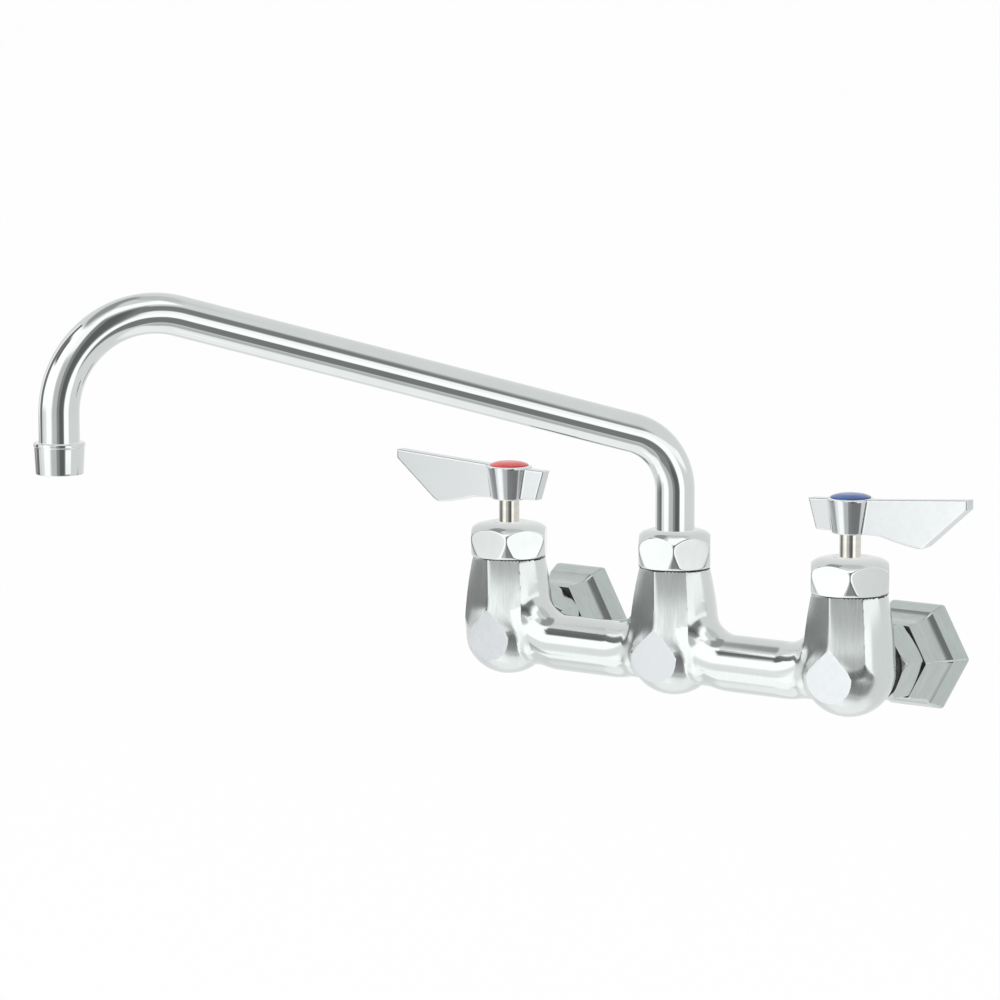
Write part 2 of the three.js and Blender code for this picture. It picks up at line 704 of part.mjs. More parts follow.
const spoutNutFoot = CENTRE_TOWER_HEIGHT + FIT;
const shankFlangeFoot = spoutRimTop + FIT;
const shankFlangeTop = shankFlangeFoot + SHANK_FLANGE;
const tubeFoot = (SHANK_FOOT_HEIGHT + shankFlangeTop) / 2 + 2;
const tubeEnd = OUTLET_HEIGHT + NOZZLE_LENGTH * 0.42;

// Stations along the tube's axis in the spout's own plane: up the post, round the first bend,
// along the rising run, round the second bend and down to the outlet.
function spoutStations() {
  const rise = THREE.MathUtils.degToRad(SPOUT_RISE_DEG);
  const postCorner = new THREE.Vector3(0, 0, SPOUT_CORNER_HEIGHT);
  const tipCorner = new THREE.Vector3(
    SPOUT_REACH,
    0,
    SPOUT_CORNER_HEIGHT + SPOUT_REACH * Math.tan(rise),
  );
  const postTurnDeg = 90 - SPOUT_RISE_DEG;
  const tipTurnDeg = 90 + SPOUT_RISE_DEG;
  const postTangent = SPOUT_POST_BEND * Math.tan(THREE.MathUtils.degToRad(postTurnDeg / 2));
  const tipTangent = SPOUT_TIP_BEND * Math.tan(THREE.MathUtils.degToRad(tipTurnDeg / 2));
  const postBend = arcPoints(
    SPOUT_POST_BEND,
    postCorner.z - postTangent,
    SPOUT_POST_BEND,
    180,
    180 - postTurnDeg,
    8,
  );
  const tipBend = arcPoints(
    SPOUT_REACH - SPOUT_TIP_BEND,
    tipCorner.z - tipTangent,
    SPOUT_TIP_BEND,
    90 + SPOUT_RISE_DEG,
    0,
    12,
  );
  const flat = [[0, tubeFoot], ...postBend, ...tipBend, [SPOUT_REACH, tubeEnd]];
  return flat.map(([along, height]) => new THREE.Vector3(along, 0, height));
}

function spoutTube() {
  return pipe(spoutStations(), SPOUT_TUBE_RADIUS, SPOUT_TUBE_RADIUS - SPOUT_TUBE_WALL, 18);
}

// Brass sleeve on the tube's foot, with a flange that the nut holds down and two seal grooves.
function spoutShank() {
  const flangeRadius = spoutThreadRadius - 0.8;
  const sleeve = turned([
    [WATERWAY_RADIUS + 2, SHANK_FOOT_HEIGHT],
    [shankRadius, SHANK_FOOT_HEIGHT],
    [shankRadius, shankFlangeFoot],
    [flangeRadius, shankFlangeFoot],
    [flangeRadius, shankFlangeTop],
    [SPOUT_TUBE_RADIUS + FIT, shankFlangeTop],
    [SPOUT_TUBE_RADIUS + FIT, tubeFoot - FIT],
    [WATERWAY_RADIUS + 2, tubeFoot - FIT],
  ]);
  const grooves = SHANK_GROOVE_HEIGHTS.map((height) =>
    ring(
      shankRadius - SHANK_GROOVE_DEPTH,
      shankRadius + 1,
      height - SHANK_GROOVE_WIDTH / 2,
      height + SHANK_GROOVE_WIDTH / 2,
    ),
  );
  return cut(sleeve, ...grooves);
}

function spoutORing(height) {
  const middle = shankRadius - SHANK_GROOVE_DEPTH + FIT - 0.1 + SPOUT_O_RING_SECTION;
  return torus(middle, SPOUT_O_RING_SECTION, height, 24);
}

function thrustWasher() {
  const foot = shankFlangeTop + FIT;
  return ring(
    SPOUT_TUBE_RADIUS + 2 * RUNNING_FIT,
    spoutThreadRadius - 1.2,
    foot,
    foot + THRUST_WASHER_THICKNESS,
    24,
  );
}

// The outlet's collar: a short tapered shell that screws on the end of the tube and holds the
// stream former up against it with a rubber washer.
function outletNozzle() {
  const top = OUTLET_HEIGHT + NOZZLE_LENGTH;
  const waist = OUTLET_HEIGHT + NOZZLE_LENGTH * 0.72;
  return turned([
    [stream.radius - 1, OUTLET_HEIGHT],
    [nozzleBaseRadius, OUTLET_HEIGHT],
    [nozzleBaseRadius + 0.4, waist],
    [nozzleTopRadius, top - 1],
    [nozzleTopRadius - 0.5, top],
    [SPOUT_TUBE_RADIUS + FIT, top],
    [SPOUT_TUBE_RADIUS + FIT, OUTLET_HEIGHT + NOZZLE_LIP],
    [stream.radius - 1, OUTLET_HEIGHT + NOZZLE_LIP],
  ]);
}

const nozzleBaseRadius = SPOUT_TUBE_RADIUS + NOZZLE_WALL;
const nozzleTopRadius = nozzleBaseRadius + NOZZLE_FLARE;
const stream = {
  radius: SPOUT_TUBE_RADIUS - FIT,
  foot: OUTLET_HEIGHT + NOZZLE_LIP + FIT,
  height: 3.2,
};
const outletWasherFoot = stream.foot + stream.height + FIT;

// The stream former: a disc with one hole in the middle and rings of holes round it.
function streamFormer() {
  const disc = rod(stream.radius, stream.foot, stream.foot + stream.height, 24);
  const holeRadius = 1.15;
  const hole = () => rod(holeRadius, stream.foot - 1, stream.foot + stream.height + 1, 6);
  const rings = [
    { radius: 3.3, count: 6 },
    { radius: 6.3, count: 12 },
  ];
  const holes = rings.flatMap(({ radius, count }) =>
    Array.from({ length: count }, (_, i) => {
      const angle = (2 * Math.PI * i) / count;
      return hole().translate(radius * Math.cos(angle), radius * Math.sin(angle), 0);
    }),
  );
  return cut(disc, hole(), ...holes);
}

function outletWasher() {
  return ring(stream.radius - 2.4, stream.radius, outletWasherFoot, tubeEnd - FIT, 24);
}

// --- Assembly -----------------------------------------------------------------------------

function inletPieces(side, couplingTurnDeg) {
  const group = new THREE.Group();
  addPiece(group, `${side}_wall_flange`, wallFlange(), METALS.castChrome);
  addPiece(group, `${side}_coupling_nut`, couplingNut(couplingTurnDeg), METALS.castChrome);
  addPiece(group, `${side}_inlet_tailpiece`, tailpiece(), METALS.brass);
  addPiece(group, `${side}_union_washer`, unionWasher(), FIBRE);
  return group;
}

function valvePieces(side) {
  const group = new THREE.Group();
  const bonnet = domedNut({
    flats: BONNET_FLATS,
    hexHeight: BONNET_HEX_HEIGHT,
    dome: BONNET_DOME,
    boreRadius: VALVE_THREAD_RADIUS + FIT,
    boreHeight: cartridgeFlangeTop + FIT - bonnetFoot,
    holeRadius: cartridgeNeck + FIT,
  }).translate(0, 0, bonnetFoot);
  addPiece(group, `${side}_bonnet_nut`, bonnet, METALS.brightChrome);
  addPiece(group, `${side}_cartridge_body`, cartridgeBody(), METALS.brass);
  addPiece(group, `${side}_seat_seal`, seatSeal(), RUBBER);
  addPiece(group, `${side}_fixed_disc`, ceramicDisc(fixedDiscFoot, 0), CERAMIC);
  const seal = torus(
    STEM_RADIUS + FIT + STEM_O_RING_SECTION,
    STEM_O_RING_SECTION,
    oRingHeight,
  );
  addPiece(group, `${side}_stem_o_ring`, seal, RUBBER);
  return group;
}

function handlePieces(side, turnDeg, buttonFinish) {
  const group = new THREE.Group();
  addPiece(group, `${side}_lever_handle`, wingLever(), METALS.satinChrome);
  addPiece(group, `${side}_stem`, valveStem(), METALS.nickel);
  addPiece(group, `${side}_moving_disc`, ceramicDisc(movingDiscFoot, 1 + FIT), CERAMIC);
  addPiece(group, `${side}_handle_screw`, handleScrew(), METALS.steel);
  addPiece(group, `${side}_index_button`, indexButton(), buttonFinish);
  group.rotation.z = THREE.MathUtils.degToRad(turnDeg);
  return group;
}

function spoutPieces() {
  const group = new THREE.Group();
  addPiece(group, "spout_tube", spoutTube(), METALS.brightChrome);
  addPiece(group, "spout_shank", spoutShank(), METALS.brass);
  addPiece(group, "spout_lower_o_ring", spoutORing(SHANK_GROOVE_HEIGHTS[0]), RUBBER);
  addPiece(group, "spout_upper_o_ring", spoutORing(SHANK_GROOVE_HEIGHTS[1]), RUBBER);
  const outlet = new THREE.Group();
  addPiece(outlet, "outlet_nozzle", outletNozzle(), METALS.brightChrome);
  addPiece(outlet, "stream_former", streamFormer(), ACETAL);
  addPiece(outlet, "outlet_washer", outletWasher(), RUBBER);
  outlet.position.x = SPOUT_REACH;
  group.add(outlet);
  group.rotation.z = THREE.MathUtils.degToRad(SPOUT_TURN_DEG);
  return group;
}

function assembly() {
  const faucet = new THREE.Group();
  faucet.position.y = -WALL_TO_AXIS;
  addPiece(faucet, "faucet_body", faucetBody(), METALS.castChrome);
  const spoutNut = domedNut({
    flats: SPOUT_NUT_FLATS,
    hexHeight: SPOUT_NUT_HEX_HEIGHT,
    dome: SPOUT_NUT_DOME,
    boreRadius: spoutThreadRadius + FIT,
    boreHeight: shankFlangeTop + THRUST_WASHER_THICKNESS + 2 * FIT - spoutNutFoot,
    holeRadius: SPOUT_TUBE_RADIUS + RUNNING_FIT,
  }).translate(0, 0, spoutNutFoot);
  addPiece(faucet, "spout_nut", spoutNut, METALS.brightChrome);
  addPiece(faucet, "spout_thrust_washer", thrustWasher(), ACETAL);
  faucet.add(spoutPieces());

  const stations = [
    {
      side: "hot",
      x: -halfCentres,
      couplingTurnDeg: HOT_COUPLING_TURN_DEG,
      leverTurnDeg: 180 + HOT_LEVER_TURN_DEG,
      button: RED,
    },
    {
      side: "cold",
      x: halfCentres,
      couplingTurnDeg: COLD_COUPLING_TURN_DEG,
      leverTurnDeg: -COLD_LEVER_TURN_DEG,
      button: BLUE,
    },
  ];
  for (const { side, x, couplingTurnDeg, leverTurnDeg, button } of stations) {
    const station = new THREE.Group();
    station.position.x = x;
    station.add(inletPieces(side, couplingTurnDeg));
    station.add(valvePieces(side));
    station.add(handlePieces(side, leverTurnDeg, button));
    faucet.add(station);
  }
  const root = new THREE.Group();
  root.add(faucet);
  return root;
}

export default assembly();
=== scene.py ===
"""A commercial wall faucet: a cast body on two wall inlets, two quarter-turn valves with wing
levers, and a 12 in swing spout. Blender 4.5. Shapes are worked out in millimetres and scaled to
metres when a mesh is made."""
import json
import math

import bpy
import bmesh
import numpy as np
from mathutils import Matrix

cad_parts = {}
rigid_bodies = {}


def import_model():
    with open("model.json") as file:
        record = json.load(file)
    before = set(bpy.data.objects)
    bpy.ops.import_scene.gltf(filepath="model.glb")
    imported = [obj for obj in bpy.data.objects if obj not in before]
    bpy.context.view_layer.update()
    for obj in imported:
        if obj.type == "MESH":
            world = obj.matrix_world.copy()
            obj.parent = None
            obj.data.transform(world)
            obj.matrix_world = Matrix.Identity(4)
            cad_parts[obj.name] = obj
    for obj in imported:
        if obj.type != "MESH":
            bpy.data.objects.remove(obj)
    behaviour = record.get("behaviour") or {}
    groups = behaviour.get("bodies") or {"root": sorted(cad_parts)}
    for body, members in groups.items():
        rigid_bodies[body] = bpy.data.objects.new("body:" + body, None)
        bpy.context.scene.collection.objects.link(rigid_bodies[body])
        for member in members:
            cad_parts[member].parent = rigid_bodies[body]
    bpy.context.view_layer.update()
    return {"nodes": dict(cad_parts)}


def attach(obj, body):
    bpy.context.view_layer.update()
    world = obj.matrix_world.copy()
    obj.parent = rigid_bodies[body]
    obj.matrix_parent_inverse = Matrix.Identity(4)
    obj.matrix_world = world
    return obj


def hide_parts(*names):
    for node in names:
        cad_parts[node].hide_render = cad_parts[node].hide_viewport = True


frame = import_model()

# --- Body casting -----------------------------------------------------------------------------
# The real piece is one sand casting in brass: three pear-shaped towers joined by a cross tube,
# with a ground teardrop flat on the front of each tower. It is satin polished by hand along the
# towers and then chromium plated, which leaves a fine upright grain under the shine.

MM = 0.001
WALL_TO_AXIS = 60.0
INLET_OFFSET = 101.6
BULB_RADIUS = 22.2
SIDE_TOWER = {"height": 36.7, "top": 17.9, "ridge": 17.3,
              "rim": 14.5, "rim_top": 45.2, "bore": 11.5, "floor": 10.0}
CENTRE_TOWER = {"height": 40.2, "top": 16.9, "ridge": 16.8,
                "rim": 14.08, "rim_top": 48.5, "bore": 12.08, "floor": 13.7}
FACET_EDGE = math.radians(53.5)
RIDGE_SOFTNESS = 0.8
RIDGE_LEAN = 0.034
RIDGE_BLEND = 1.2
FLAT_TIP_HEIGHT = 13.0
FLAT_SPREAD = 0.97
TUBE_RADIUS = 13.8
BEND_RADIUS = 28.8
BEND_START = 35.0
BEND_TOP = 25.1
STUB_THINNING = 1.0
CROTCH_BLEND = 4.0
UNDERSIDE_BLEND = 9.0
SEAM_BLEND = 1.5
TOP_EDGE_BLEND = 1.2
RIM_ROOT = 30.0
REAR_FACE = 17.4
REAR_FACE_RADIUS = 20.6
THREAD_RADIUS = 14.3
THREAD_END = 26.0
WATERWAY_RADIUS = 5.5
BEYOND = 60.0
BODY_STEP = 0.8
BODY_SHARP_ANGLE = math.radians(14)


def smooth_max(a, b, reach):
    """The larger of a and b, with the crease between them rounded where they differ by less than
    reach: max(a, b) + (reach - |a - b|)^2 / (4 reach)."""
    near = np.maximum(reach - np.abs(a - b), 0.0)
    return np.maximum(a, b) + near * near / (4 * reach)


def smooth_min(a, b, reach):
    """The smaller of a and b, rounded in the same way."""
    return -smooth_max(-a, -b, reach)


def ease(share):
    """Goes smoothly from 0 to 1 as its share does, with level ends: 3 s^2 - 2 s^3."""
    share = np.clip(share, 0, 1)
    return share * share * (3 - 2 * share)


def column(across, along, start, end, radius):
    """Distance to a round bar: across is the distance from its axis, along the place on it."""
    return np.maximum(across - radius, np.maximum(start - along, along - end))


def pear_radius(z, size):
    """Radius of a tower above its widest level: the quadratic Bezier curve through (bulb, 0),
    (0.965 bulb, 0.55 h) and (top, h), solved for the height z."""
    t = (1.1 - np.sqrt(1.21 - 0.4 * np.clip(z / size["height"], 0, 1.4))) / 0.2
    return BULB_RADIUS * ((1 - t) ** 2 + 1.93 * t * (1 - t)) + size["top"] * t * t


def facets(side, forward, z, size):
    """Distance past the two facets that pinch a tower's front. At each height a facet is a
    straight chord from the ridge to the tower's circle, 53.5 degrees round from the front.
    Above the teardrop's tip the ridge leans out a little. Below it the chord crosses the flat
    0.97 mm further out for each millimetre down. The two are blended over 1.2 mm."""
    pear = pear_radius(z, size)
    edge_side, edge_forward = pear * math.sin(FACET_EDGE), pear * math.cos(FACET_EDGE)
    lift = z - FLAT_TIP_HEIGHT
    share = np.clip(-FLAT_SPREAD * lift / edge_side, -3.0, 0.8)
    below = (size["ridge"] - share * edge_forward) / (1 - share)
    ridge = smooth_max(size["ridge"] + RIDGE_LEAN * lift, below, RIDGE_BLEND) - RIDGE_BLEND / 4
    spread = np.hypot(side, RIDGE_SOFTNESS)
    past = spread * (ridge - edge_forward) + (forward - ridge) * edge_side
    return past / np.hypot(ridge - edge_forward, edge_side)


def cross_tube(along, across, z):
    """Distance to the tube between two towers, seen from the nearer one's axis: level, then a
    quarter ring that bends up into the tower and ends in a rounded stub. It gets 1 mm thinner
    on the way up, so that the stub stays inside the tower."""
    radius = TUBE_RADIUS - STUB_THINNING * ease((z - 8) / 14)
    level = np.hypot(across, z + BEND_RADIUS - BEND_TOP)
    ring = np.hypot(np.hypot(along - BEND_START, z - BEND_TOP) - BEND_RADIUS, across)
    stub = np.maximum(np.hypot(along - BEND_START + BEND_RADIUS, across) - radius, 0)
    stub = np.hypot(stub, z - BEND_TOP) + radius
    return np.where(along > BEND_START, level, np.where(z < BEND_TOP, ring, stub)) - radius


def tower_size(outer, what):
    """One of the towers' sizes: an outer tower's where outer is true, else the centre one's."""
    return np.where(outer, SIDE_TOWER[what], CENTRE_TOWER[what])


def about_tower(x, y, z):
    """Where a point lies about the nearest tower: whether that is an outer one, how far to the
    side and forward, and the tower's height, ridge and facets there. Both halves are alike, so
    only |x| counts."""
    outer = np.abs(x) > INLET_OFFSET / 2
    side = np.where(outer, np.abs(x) - INLET_OFFSET, np.abs(x))
    forward = -(y + WALL_TO_AXIS)
    pinch = np.where(outer, facets(side, forward, z, SIDE_TOWER),
                     facets(side, forward, z, CENTRE_TOWER))
    return outer, side, forward, tower_size(outer, "height"), tower_size(outer, "ridge"), pinch


def body_solid(x, y, z):
    """Signed distance, roughly, to the casting: the towers and cross tubes blended together, the
    tops, facets, flats and seats cut, then the threaded rims and the bores."""
    outer, side, forward, height, flat, pinch = about_tower(x, y, z)
    around = np.hypot(side, forward)
    pear = np.where(outer, pear_radius(z, SIDE_TOWER), pear_radius(z, CENTRE_TOWER))
    towers = np.where(z > 0, around - pear, np.hypot(around, z) - BULB_RADIUS)
    towers = smooth_max(towers, pinch, 0.02 + 2.98 * np.clip(1 - z / 6, 0, 1))
    along = np.where(outer, -side, side)
    crotch = ease(np.maximum((along - 13) / 8, -forward / 10)) * ease((20 - z) / 12)
    reach = CROTCH_BLEND + (UNDERSIDE_BLEND - CROTCH_BLEND) * ease(-z / 10)
    reach = SEAM_BLEND + (reach - SEAM_BLEND) * crotch
    solid = smooth_min(towers, cross_tube(along, forward, z), reach)
    solid = smooth_max(solid, z - height, TOP_EDGE_BLEND)
    solid = np.maximum(solid, forward - flat - 0.05 * np.maximum(z - FLAT_TIP_HEIGHT, 0))
    inlet = np.hypot(np.abs(x) - INLET_OFFSET, z)
    solid = np.maximum(solid, -column(inlet, -forward, REAR_FACE, BEYOND, REAR_FACE_RADIUS))
    solid = np.minimum(solid, column(inlet, -forward, 0.0, THREAD_END, THREAD_RADIUS))
    rim = column(around, z, RIM_ROOT, tower_size(outer, "rim_top"), tower_size(outer, "rim"))
    bore = column(around, z, tower_size(outer, "floor"), BEYOND, tower_size(outer, "bore"))
    solid = np.maximum(np.minimum(solid, rim), -bore)
    return np.maximum(solid, -column(inlet, -forward, 0.0, BEYOND, WATERWAY_RADIUS))


def crossings(solid, start, axis, step, first, second):
    """Where the surface crosses grid edges that run along one axis, by repeated straight-line
    guesses between the two ends, and the surface's unit normal there."""
    low = np.zeros(len(start))
    high = np.ones(len(start))
    for _ in range(3):
        guess = low + (high - low) * np.clip(first / (first - second), 0.02, 0.98)
        point = start.copy()
        point[:, axis] += guess * step
        value = solid(*point.T)
        same = np.sign(value) == np.sign(first)
        low = np.where(same, guess, low)
        first = np.where(same, value, first)
        high = np.where(same, high, guess)
        second = np.where(same, second, value)
    probe = 0.01
    slope = [solid(*(point + probe * e).T) - solid(*(point - probe * e).T) for e in np.eye(3)]
    normal = np.stack(slope, 1)
    return point, normal / np.linalg.norm(normal, axis=1, keepdims=True)


def skin(solid, low, high, step):
    """Vertices and quads of the surface solid(x, y, z) = 0, by dual contouring: each grid cell
    that the surface passes through gets the point that lies closest to all the tangent planes
    where the surface crosses its edges, so creases stay crisp. The point may lie a third of a
    cell outside. Each crossed edge is a quad."""
    low = np.array(low, float)
    counts = np.ceil((np.array(high, float) - low) / step).astype(int) + 1
    ticks = [low[i] + step * np.arange(counts[i]) for i in range(3)]
    value = solid(*np.meshgrid(*ticks, indexing="ij"))
    points, normals, rings = [], [], []
    for axis in range(3):
        ahead = [slice(None)] * 3
        behind = [slice(None)] * 3
        ahead[axis] = slice(1, None)
        behind[axis] = slice(None, -1)
        first, second = value[tuple(behind)], value[tuple(ahead)]
        place = np.stack(np.nonzero((first < 0) != (second < 0)), 1)
        pick = tuple(place.T)
        point, normal = crossings(solid, low + place * step, axis, step, first[pick], second[pick])
        u, v = (axis + 1) % 3, (axis + 2) % 3
        corner = np.repeat(place[:, None, :], 4, 1)
        corner[:, :, u] += np.array([-1, 0, 0, -1])
        corner[:, :, v] += np.array([-1, -1, 0, 0])
        ring = np.ravel_multi_index(tuple(np.moveaxis(corner, 2, 0)), counts)
        outward = (first[pick] < 0)[:, None]
        rings.append(np.where(outward, ring, ring[:, ::-1]))
        points.append(point)
        normals.append(normal)
    point, normal, ring = np.concatenate(points), np.concatenate(normals), np.concatenate(rings)
    cells, where = np.unique(ring, return_inverse=True)
    where = where.reshape(ring.shape)
    flat = where.ravel()

    def total(weight):
        return np.bincount(flat, np.repeat(weight, 4), len(cells))

    share = total(np.ones(len(point)))
    middle = np.stack([total(point[:, i]) for i in range(3)], 1) / share[:, None]
    planes = np.stack([[total(normal[:, i] * normal[:, j]) for i in range(3)] for j in range(3)])
    planes = np.moveaxis(planes, 2, 0)
    offset = (normal * point).sum(1)
    pull = np.stack([total(normal[:, i] * offset) for i in range(3)], 1)
    pull -= np.einsum("nij,nj->ni", planes, middle)
    stiff = planes + 0.05 * np.eye(3)
    vertex = middle + np.linalg.solve(stiff, pull[:, :, None])[:, :, 0]
    corner = low + step * np.stack(np.unravel_index(cells, counts), 1)
    return np.clip(vertex, corner - step / 3, corner + 4 * step / 3), where


def add_piece(name, node, body, material, vertices, faces, sharp_angle):
    """Makes the mesh of a piece that stands for a CAD node and rides on its body. Faces are
    quads. Those that a pole squeezes shut become triangles when doubles are merged."""
    mesh = bpy.data.meshes.new(name)
    mesh.vertices.add(len(vertices))
    mesh.vertices.foreach_set("co", (vertices * MM).astype(np.float32).ravel())
    mesh.loops.add(faces.size)
    mesh.loops.foreach_set("vertex_index", faces.astype(np.int32).ravel())
    mesh.polygons.add(len(faces))
    mesh.polygons.foreach_set("loop_start", np.arange(0, faces.size, faces.shape[1]))
    mesh.update(calc_edges=True)
    work = bmesh.new()
    work.from_mesh(mesh)
    bmesh.ops.remove_doubles(work, verts=work.verts, dist=1e-7)
    work.to_mesh(mesh)
    work.free()
    mesh.validate()
    mesh.shade_smooth()
    mesh.set_sharp_from_angle(angle=sharp_angle)
    mesh.materials.append(material)
    piece = bpy.data.objects.new(name, mesh)
    bpy.context.scene.collection.objects.link(piece)
    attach(piece, body)
    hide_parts(node)
    return piece


def new_group(name, inputs, outputs):
    """An empty shader node group. Inputs and outputs are (name, kind, start value)."""
    group = bpy.data.node_groups.new(name, "ShaderNodeTree")
    for label, kind, value in inputs:
        socket = group.interface.new_socket(name=label, in_out="INPUT", socket_type=kind)
        if value is not None:
            socket.default_value = value
    for label, kind, _ in outputs:
        group.interface.new_socket(name=label, in_out="OUTPUT", socket_type=kind)
    return group, group.nodes.new("NodeGroupInput"), group.nodes.new("NodeGroupOutput")


def add_node(tree, kind, links=(), **values):
    """A node with its properties and socket values set. A link is (socket, where it comes from)."""
    node = tree.nodes.new(kind)
    for key, value in values.items():
        if hasattr(node, key):
            setattr(node, key, value)
        else:
            node.inputs[key.replace("_", " ")].default_value = value
    for socket, source in links:
        tree.links.new(source, node.inputs[socket])
    return node


def noise(tree, place, **values):
    """The grey value of a noise texture at a place."""
    return add_node(tree, "ShaderNodeTexNoise", [("Vector", place)], **values).outputs["Fac"]


FLOAT = "NodeSocketFloat"
VECTOR = "NodeSocketVector"

# Grain: cloudy streaks that the polishing belt leaves, from two noises drawn out along one axis.
grain, grain_in, grain_out = new_group(
    "polishing_grain",
    [("Vector", VECTOR, None), ("Stretch", VECTOR, (900, 900, 160)), ("Blotch", VECTOR, (260, 260, 90))],
    [("Streaks", FLOAT, None), ("Blotches", FLOAT, None)],
)
for scales, result, detail, roughness, warp in (("Stretch", "Streaks", 3.0, 0.62, 0.0),
                                                ("Blotch", "Blotches", 4.0, 0.6, 0.4)):
    drawn_out = add_node(grain, "ShaderNodeVectorMath", operation="MULTIPLY",
                         links=[(0, grain_in.outputs["Vector"]), (1, grain_in.outputs[scales])])
    cloud = noise(grain, drawn_out.outputs[0], Scale=1.0, Detail=detail, Roughness=roughness,
                  Distortion=warp)
    grain.links.new(cloud, grain_out.inputs[result])

# Handling: soft smudges and faint rubbed patches. A larger Size makes them smaller.
handling, handling_in, handling_out = new_group(
    "handling_marks", [("Vector", VECTOR, None), ("Size", FLOAT, 28.0)], [("Smudge", FLOAT, None)],
)
smudge_noise = add_node(handling, "ShaderNodeTexNoise", [("Vector", handling_in.outputs["Vector"]),
                        ("Scale", handling_in.outputs["Size"])], Detail=5.0, Roughness=0.55)
smudge_curve = add_node(handling, "ShaderNodeMapRange", [("Value", smudge_noise.outputs["Fac"])],
                        From_Min=0.38, From_Max=0.72, interpolation_type="SMOOTHSTEP")
handling.links.new(smudge_curve.outputs["Result"], handling_out.inputs["Smudge"])


def start_material(name, metallic):
    """A material with its Principled shader and its Object coordinates."""
    material = bpy.data.materials.new(name)
    material.use_nodes = True
    tree = material.node_tree
    shader = tree.nodes["Principled BSDF"]
    shader.inputs["Metallic"].default_value = metallic
    place = add_node(tree, "ShaderNodeTexCoord").outputs["Object"]
    return material, tree, shader, place


def use_group(tree, group, place, **values):
    """A node that uses a group at a place, with some of its inputs set."""
    node = add_node(tree, "ShaderNodeGroup", node_tree=group)
    tree.links.new(place, node.inputs["Vector"])
    for key, value in values.items():
        node.inputs[key].default_value = value
    return node


def spread(tree, source, low, high, start=0.0, end=1.0):
    """A value that goes from low to high as its source goes from start to end."""
    return add_node(tree, "ShaderNodeMapRange", [("Value", source)],
                    From_Min=start, From_Max=end, To_Min=low, To_Max=high).outputs["Result"]


def blend_colours(tree, mask, first, second):
    """A mix of two colours by a mask."""
    node = add_node(tree, "ShaderNodeMix", data_type="RGBA")
    tree.links.new(mask, node.inputs["Factor"])
    node.inputs[6].default_value = (*first, 1)
    node.inputs[7].default_value = (*second, 1)
    return node.outputs[2]


def finish(tree, shader, colour, roughness, height, strength, distance):
    """Links a colour, a roughness and, through a Bump node, a height to the shader. The bump's
    distance is in metres."""
    bump = add_node(tree, "ShaderNodeBump", [("Height", height)], Strength=strength,
                    Distance=distance)
    for socket, source in (("Base Color", colour), ("Roughness", roughness),
                           ("Normal", bump.outputs["Normal"])):
        tree.links.new(source, shader.inputs[socket])


def satin_chrome(name, light, dark, smooth, rough, stretch, blotch, bump, satin=None):
    """Chromium over a belt-polished surface: streaks and blotches shift its tone and roughness.
    The attribute that satin names multiplies the roughness. Where it is 0 the sheen is even."""
    material, tree, shader, place = start_material(name, 1.0)
    streaks = use_group(tree, grain, place, Stretch=stretch, Blotch=blotch)
    marks = use_group(tree, handling, place, Size=22.0)
    mix = add_node(tree, "ShaderNodeMath", [(0, streaks.outputs["Streaks"]),
                   (1, streaks.outputs["Blotches"])], operation="ADD")
    tone = spread(tree, mix.outputs[0], 0.0, 1.0, 0.75, 1.25)
    base_rough = spread(tree, mix.outputs[0], rough, smooth, 0.75, 1.25)
    rubbed = add_node(tree, "ShaderNodeMath", [(0, marks.outputs["Smudge"]), (2, base_rough)],
                      operation="MULTIPLY_ADD")
    rubbed.inputs[1].default_value = 0.04
    if satin is not None:
        amount = add_node(tree, "ShaderNodeAttribute", attribute_name=satin).outputs["Fac"]
        even = spread(tree, amount, 0.08, 0.0)
        rubbed = add_node(tree, "ShaderNodeMath", [(0, rubbed.outputs[0]), (1, amount), (2, even)],
                          operation="MULTIPLY_ADD")
    finish(tree, shader, blend_colours(tree, tone, dark, light), rubbed.outputs[0],
           mix.outputs[0], bump, 0.0001)
    return material


def paint(piece, material, chosen):
    """Gives another material to the faces of a piece for which chosen(x, y, z) is true at the
    face's centre, in millimetres."""
    mesh = piece.data
    centre = np.empty(len(mesh.polygons) * 3, np.float32)
    mesh.polygons.foreach_get("center", centre)
    index = np.empty(len(mesh.polygons), np.int32)
    mesh.polygons.foreach_get("material_index", index)
    mesh.materials.append(material)
    index[chosen(*centre.reshape(-1, 3).T / MM)] = len(mesh.materials) - 1
    mesh.polygons.foreach_set("material_index", index)


def on_facet(x, y, z):
    """The two belted facets on each tower's front, above the bulb's widest level."""
    _, _, forward, _, _, pinch = about_tower(x, y, z)
    return (np.abs(pinch) < 0.1) & (z > 0) & (forward > 8)


def on_flat(x, y, z):
    """The ground teardrop flat on each tower's front."""
    _, _, forward, _, ridge, _ = about_tower(x, y, z)
    return (forward - ridge > -0.03) & (z < FLAT_TIP_HEIGHT)


def on_seat(x, y, z):
    """The top of each tower where its nut sits, and the rim above it: painted dark as the shade in the gap
    under the nut.
    """
    return z - about_tower(x, y, z)[3] > -0.7


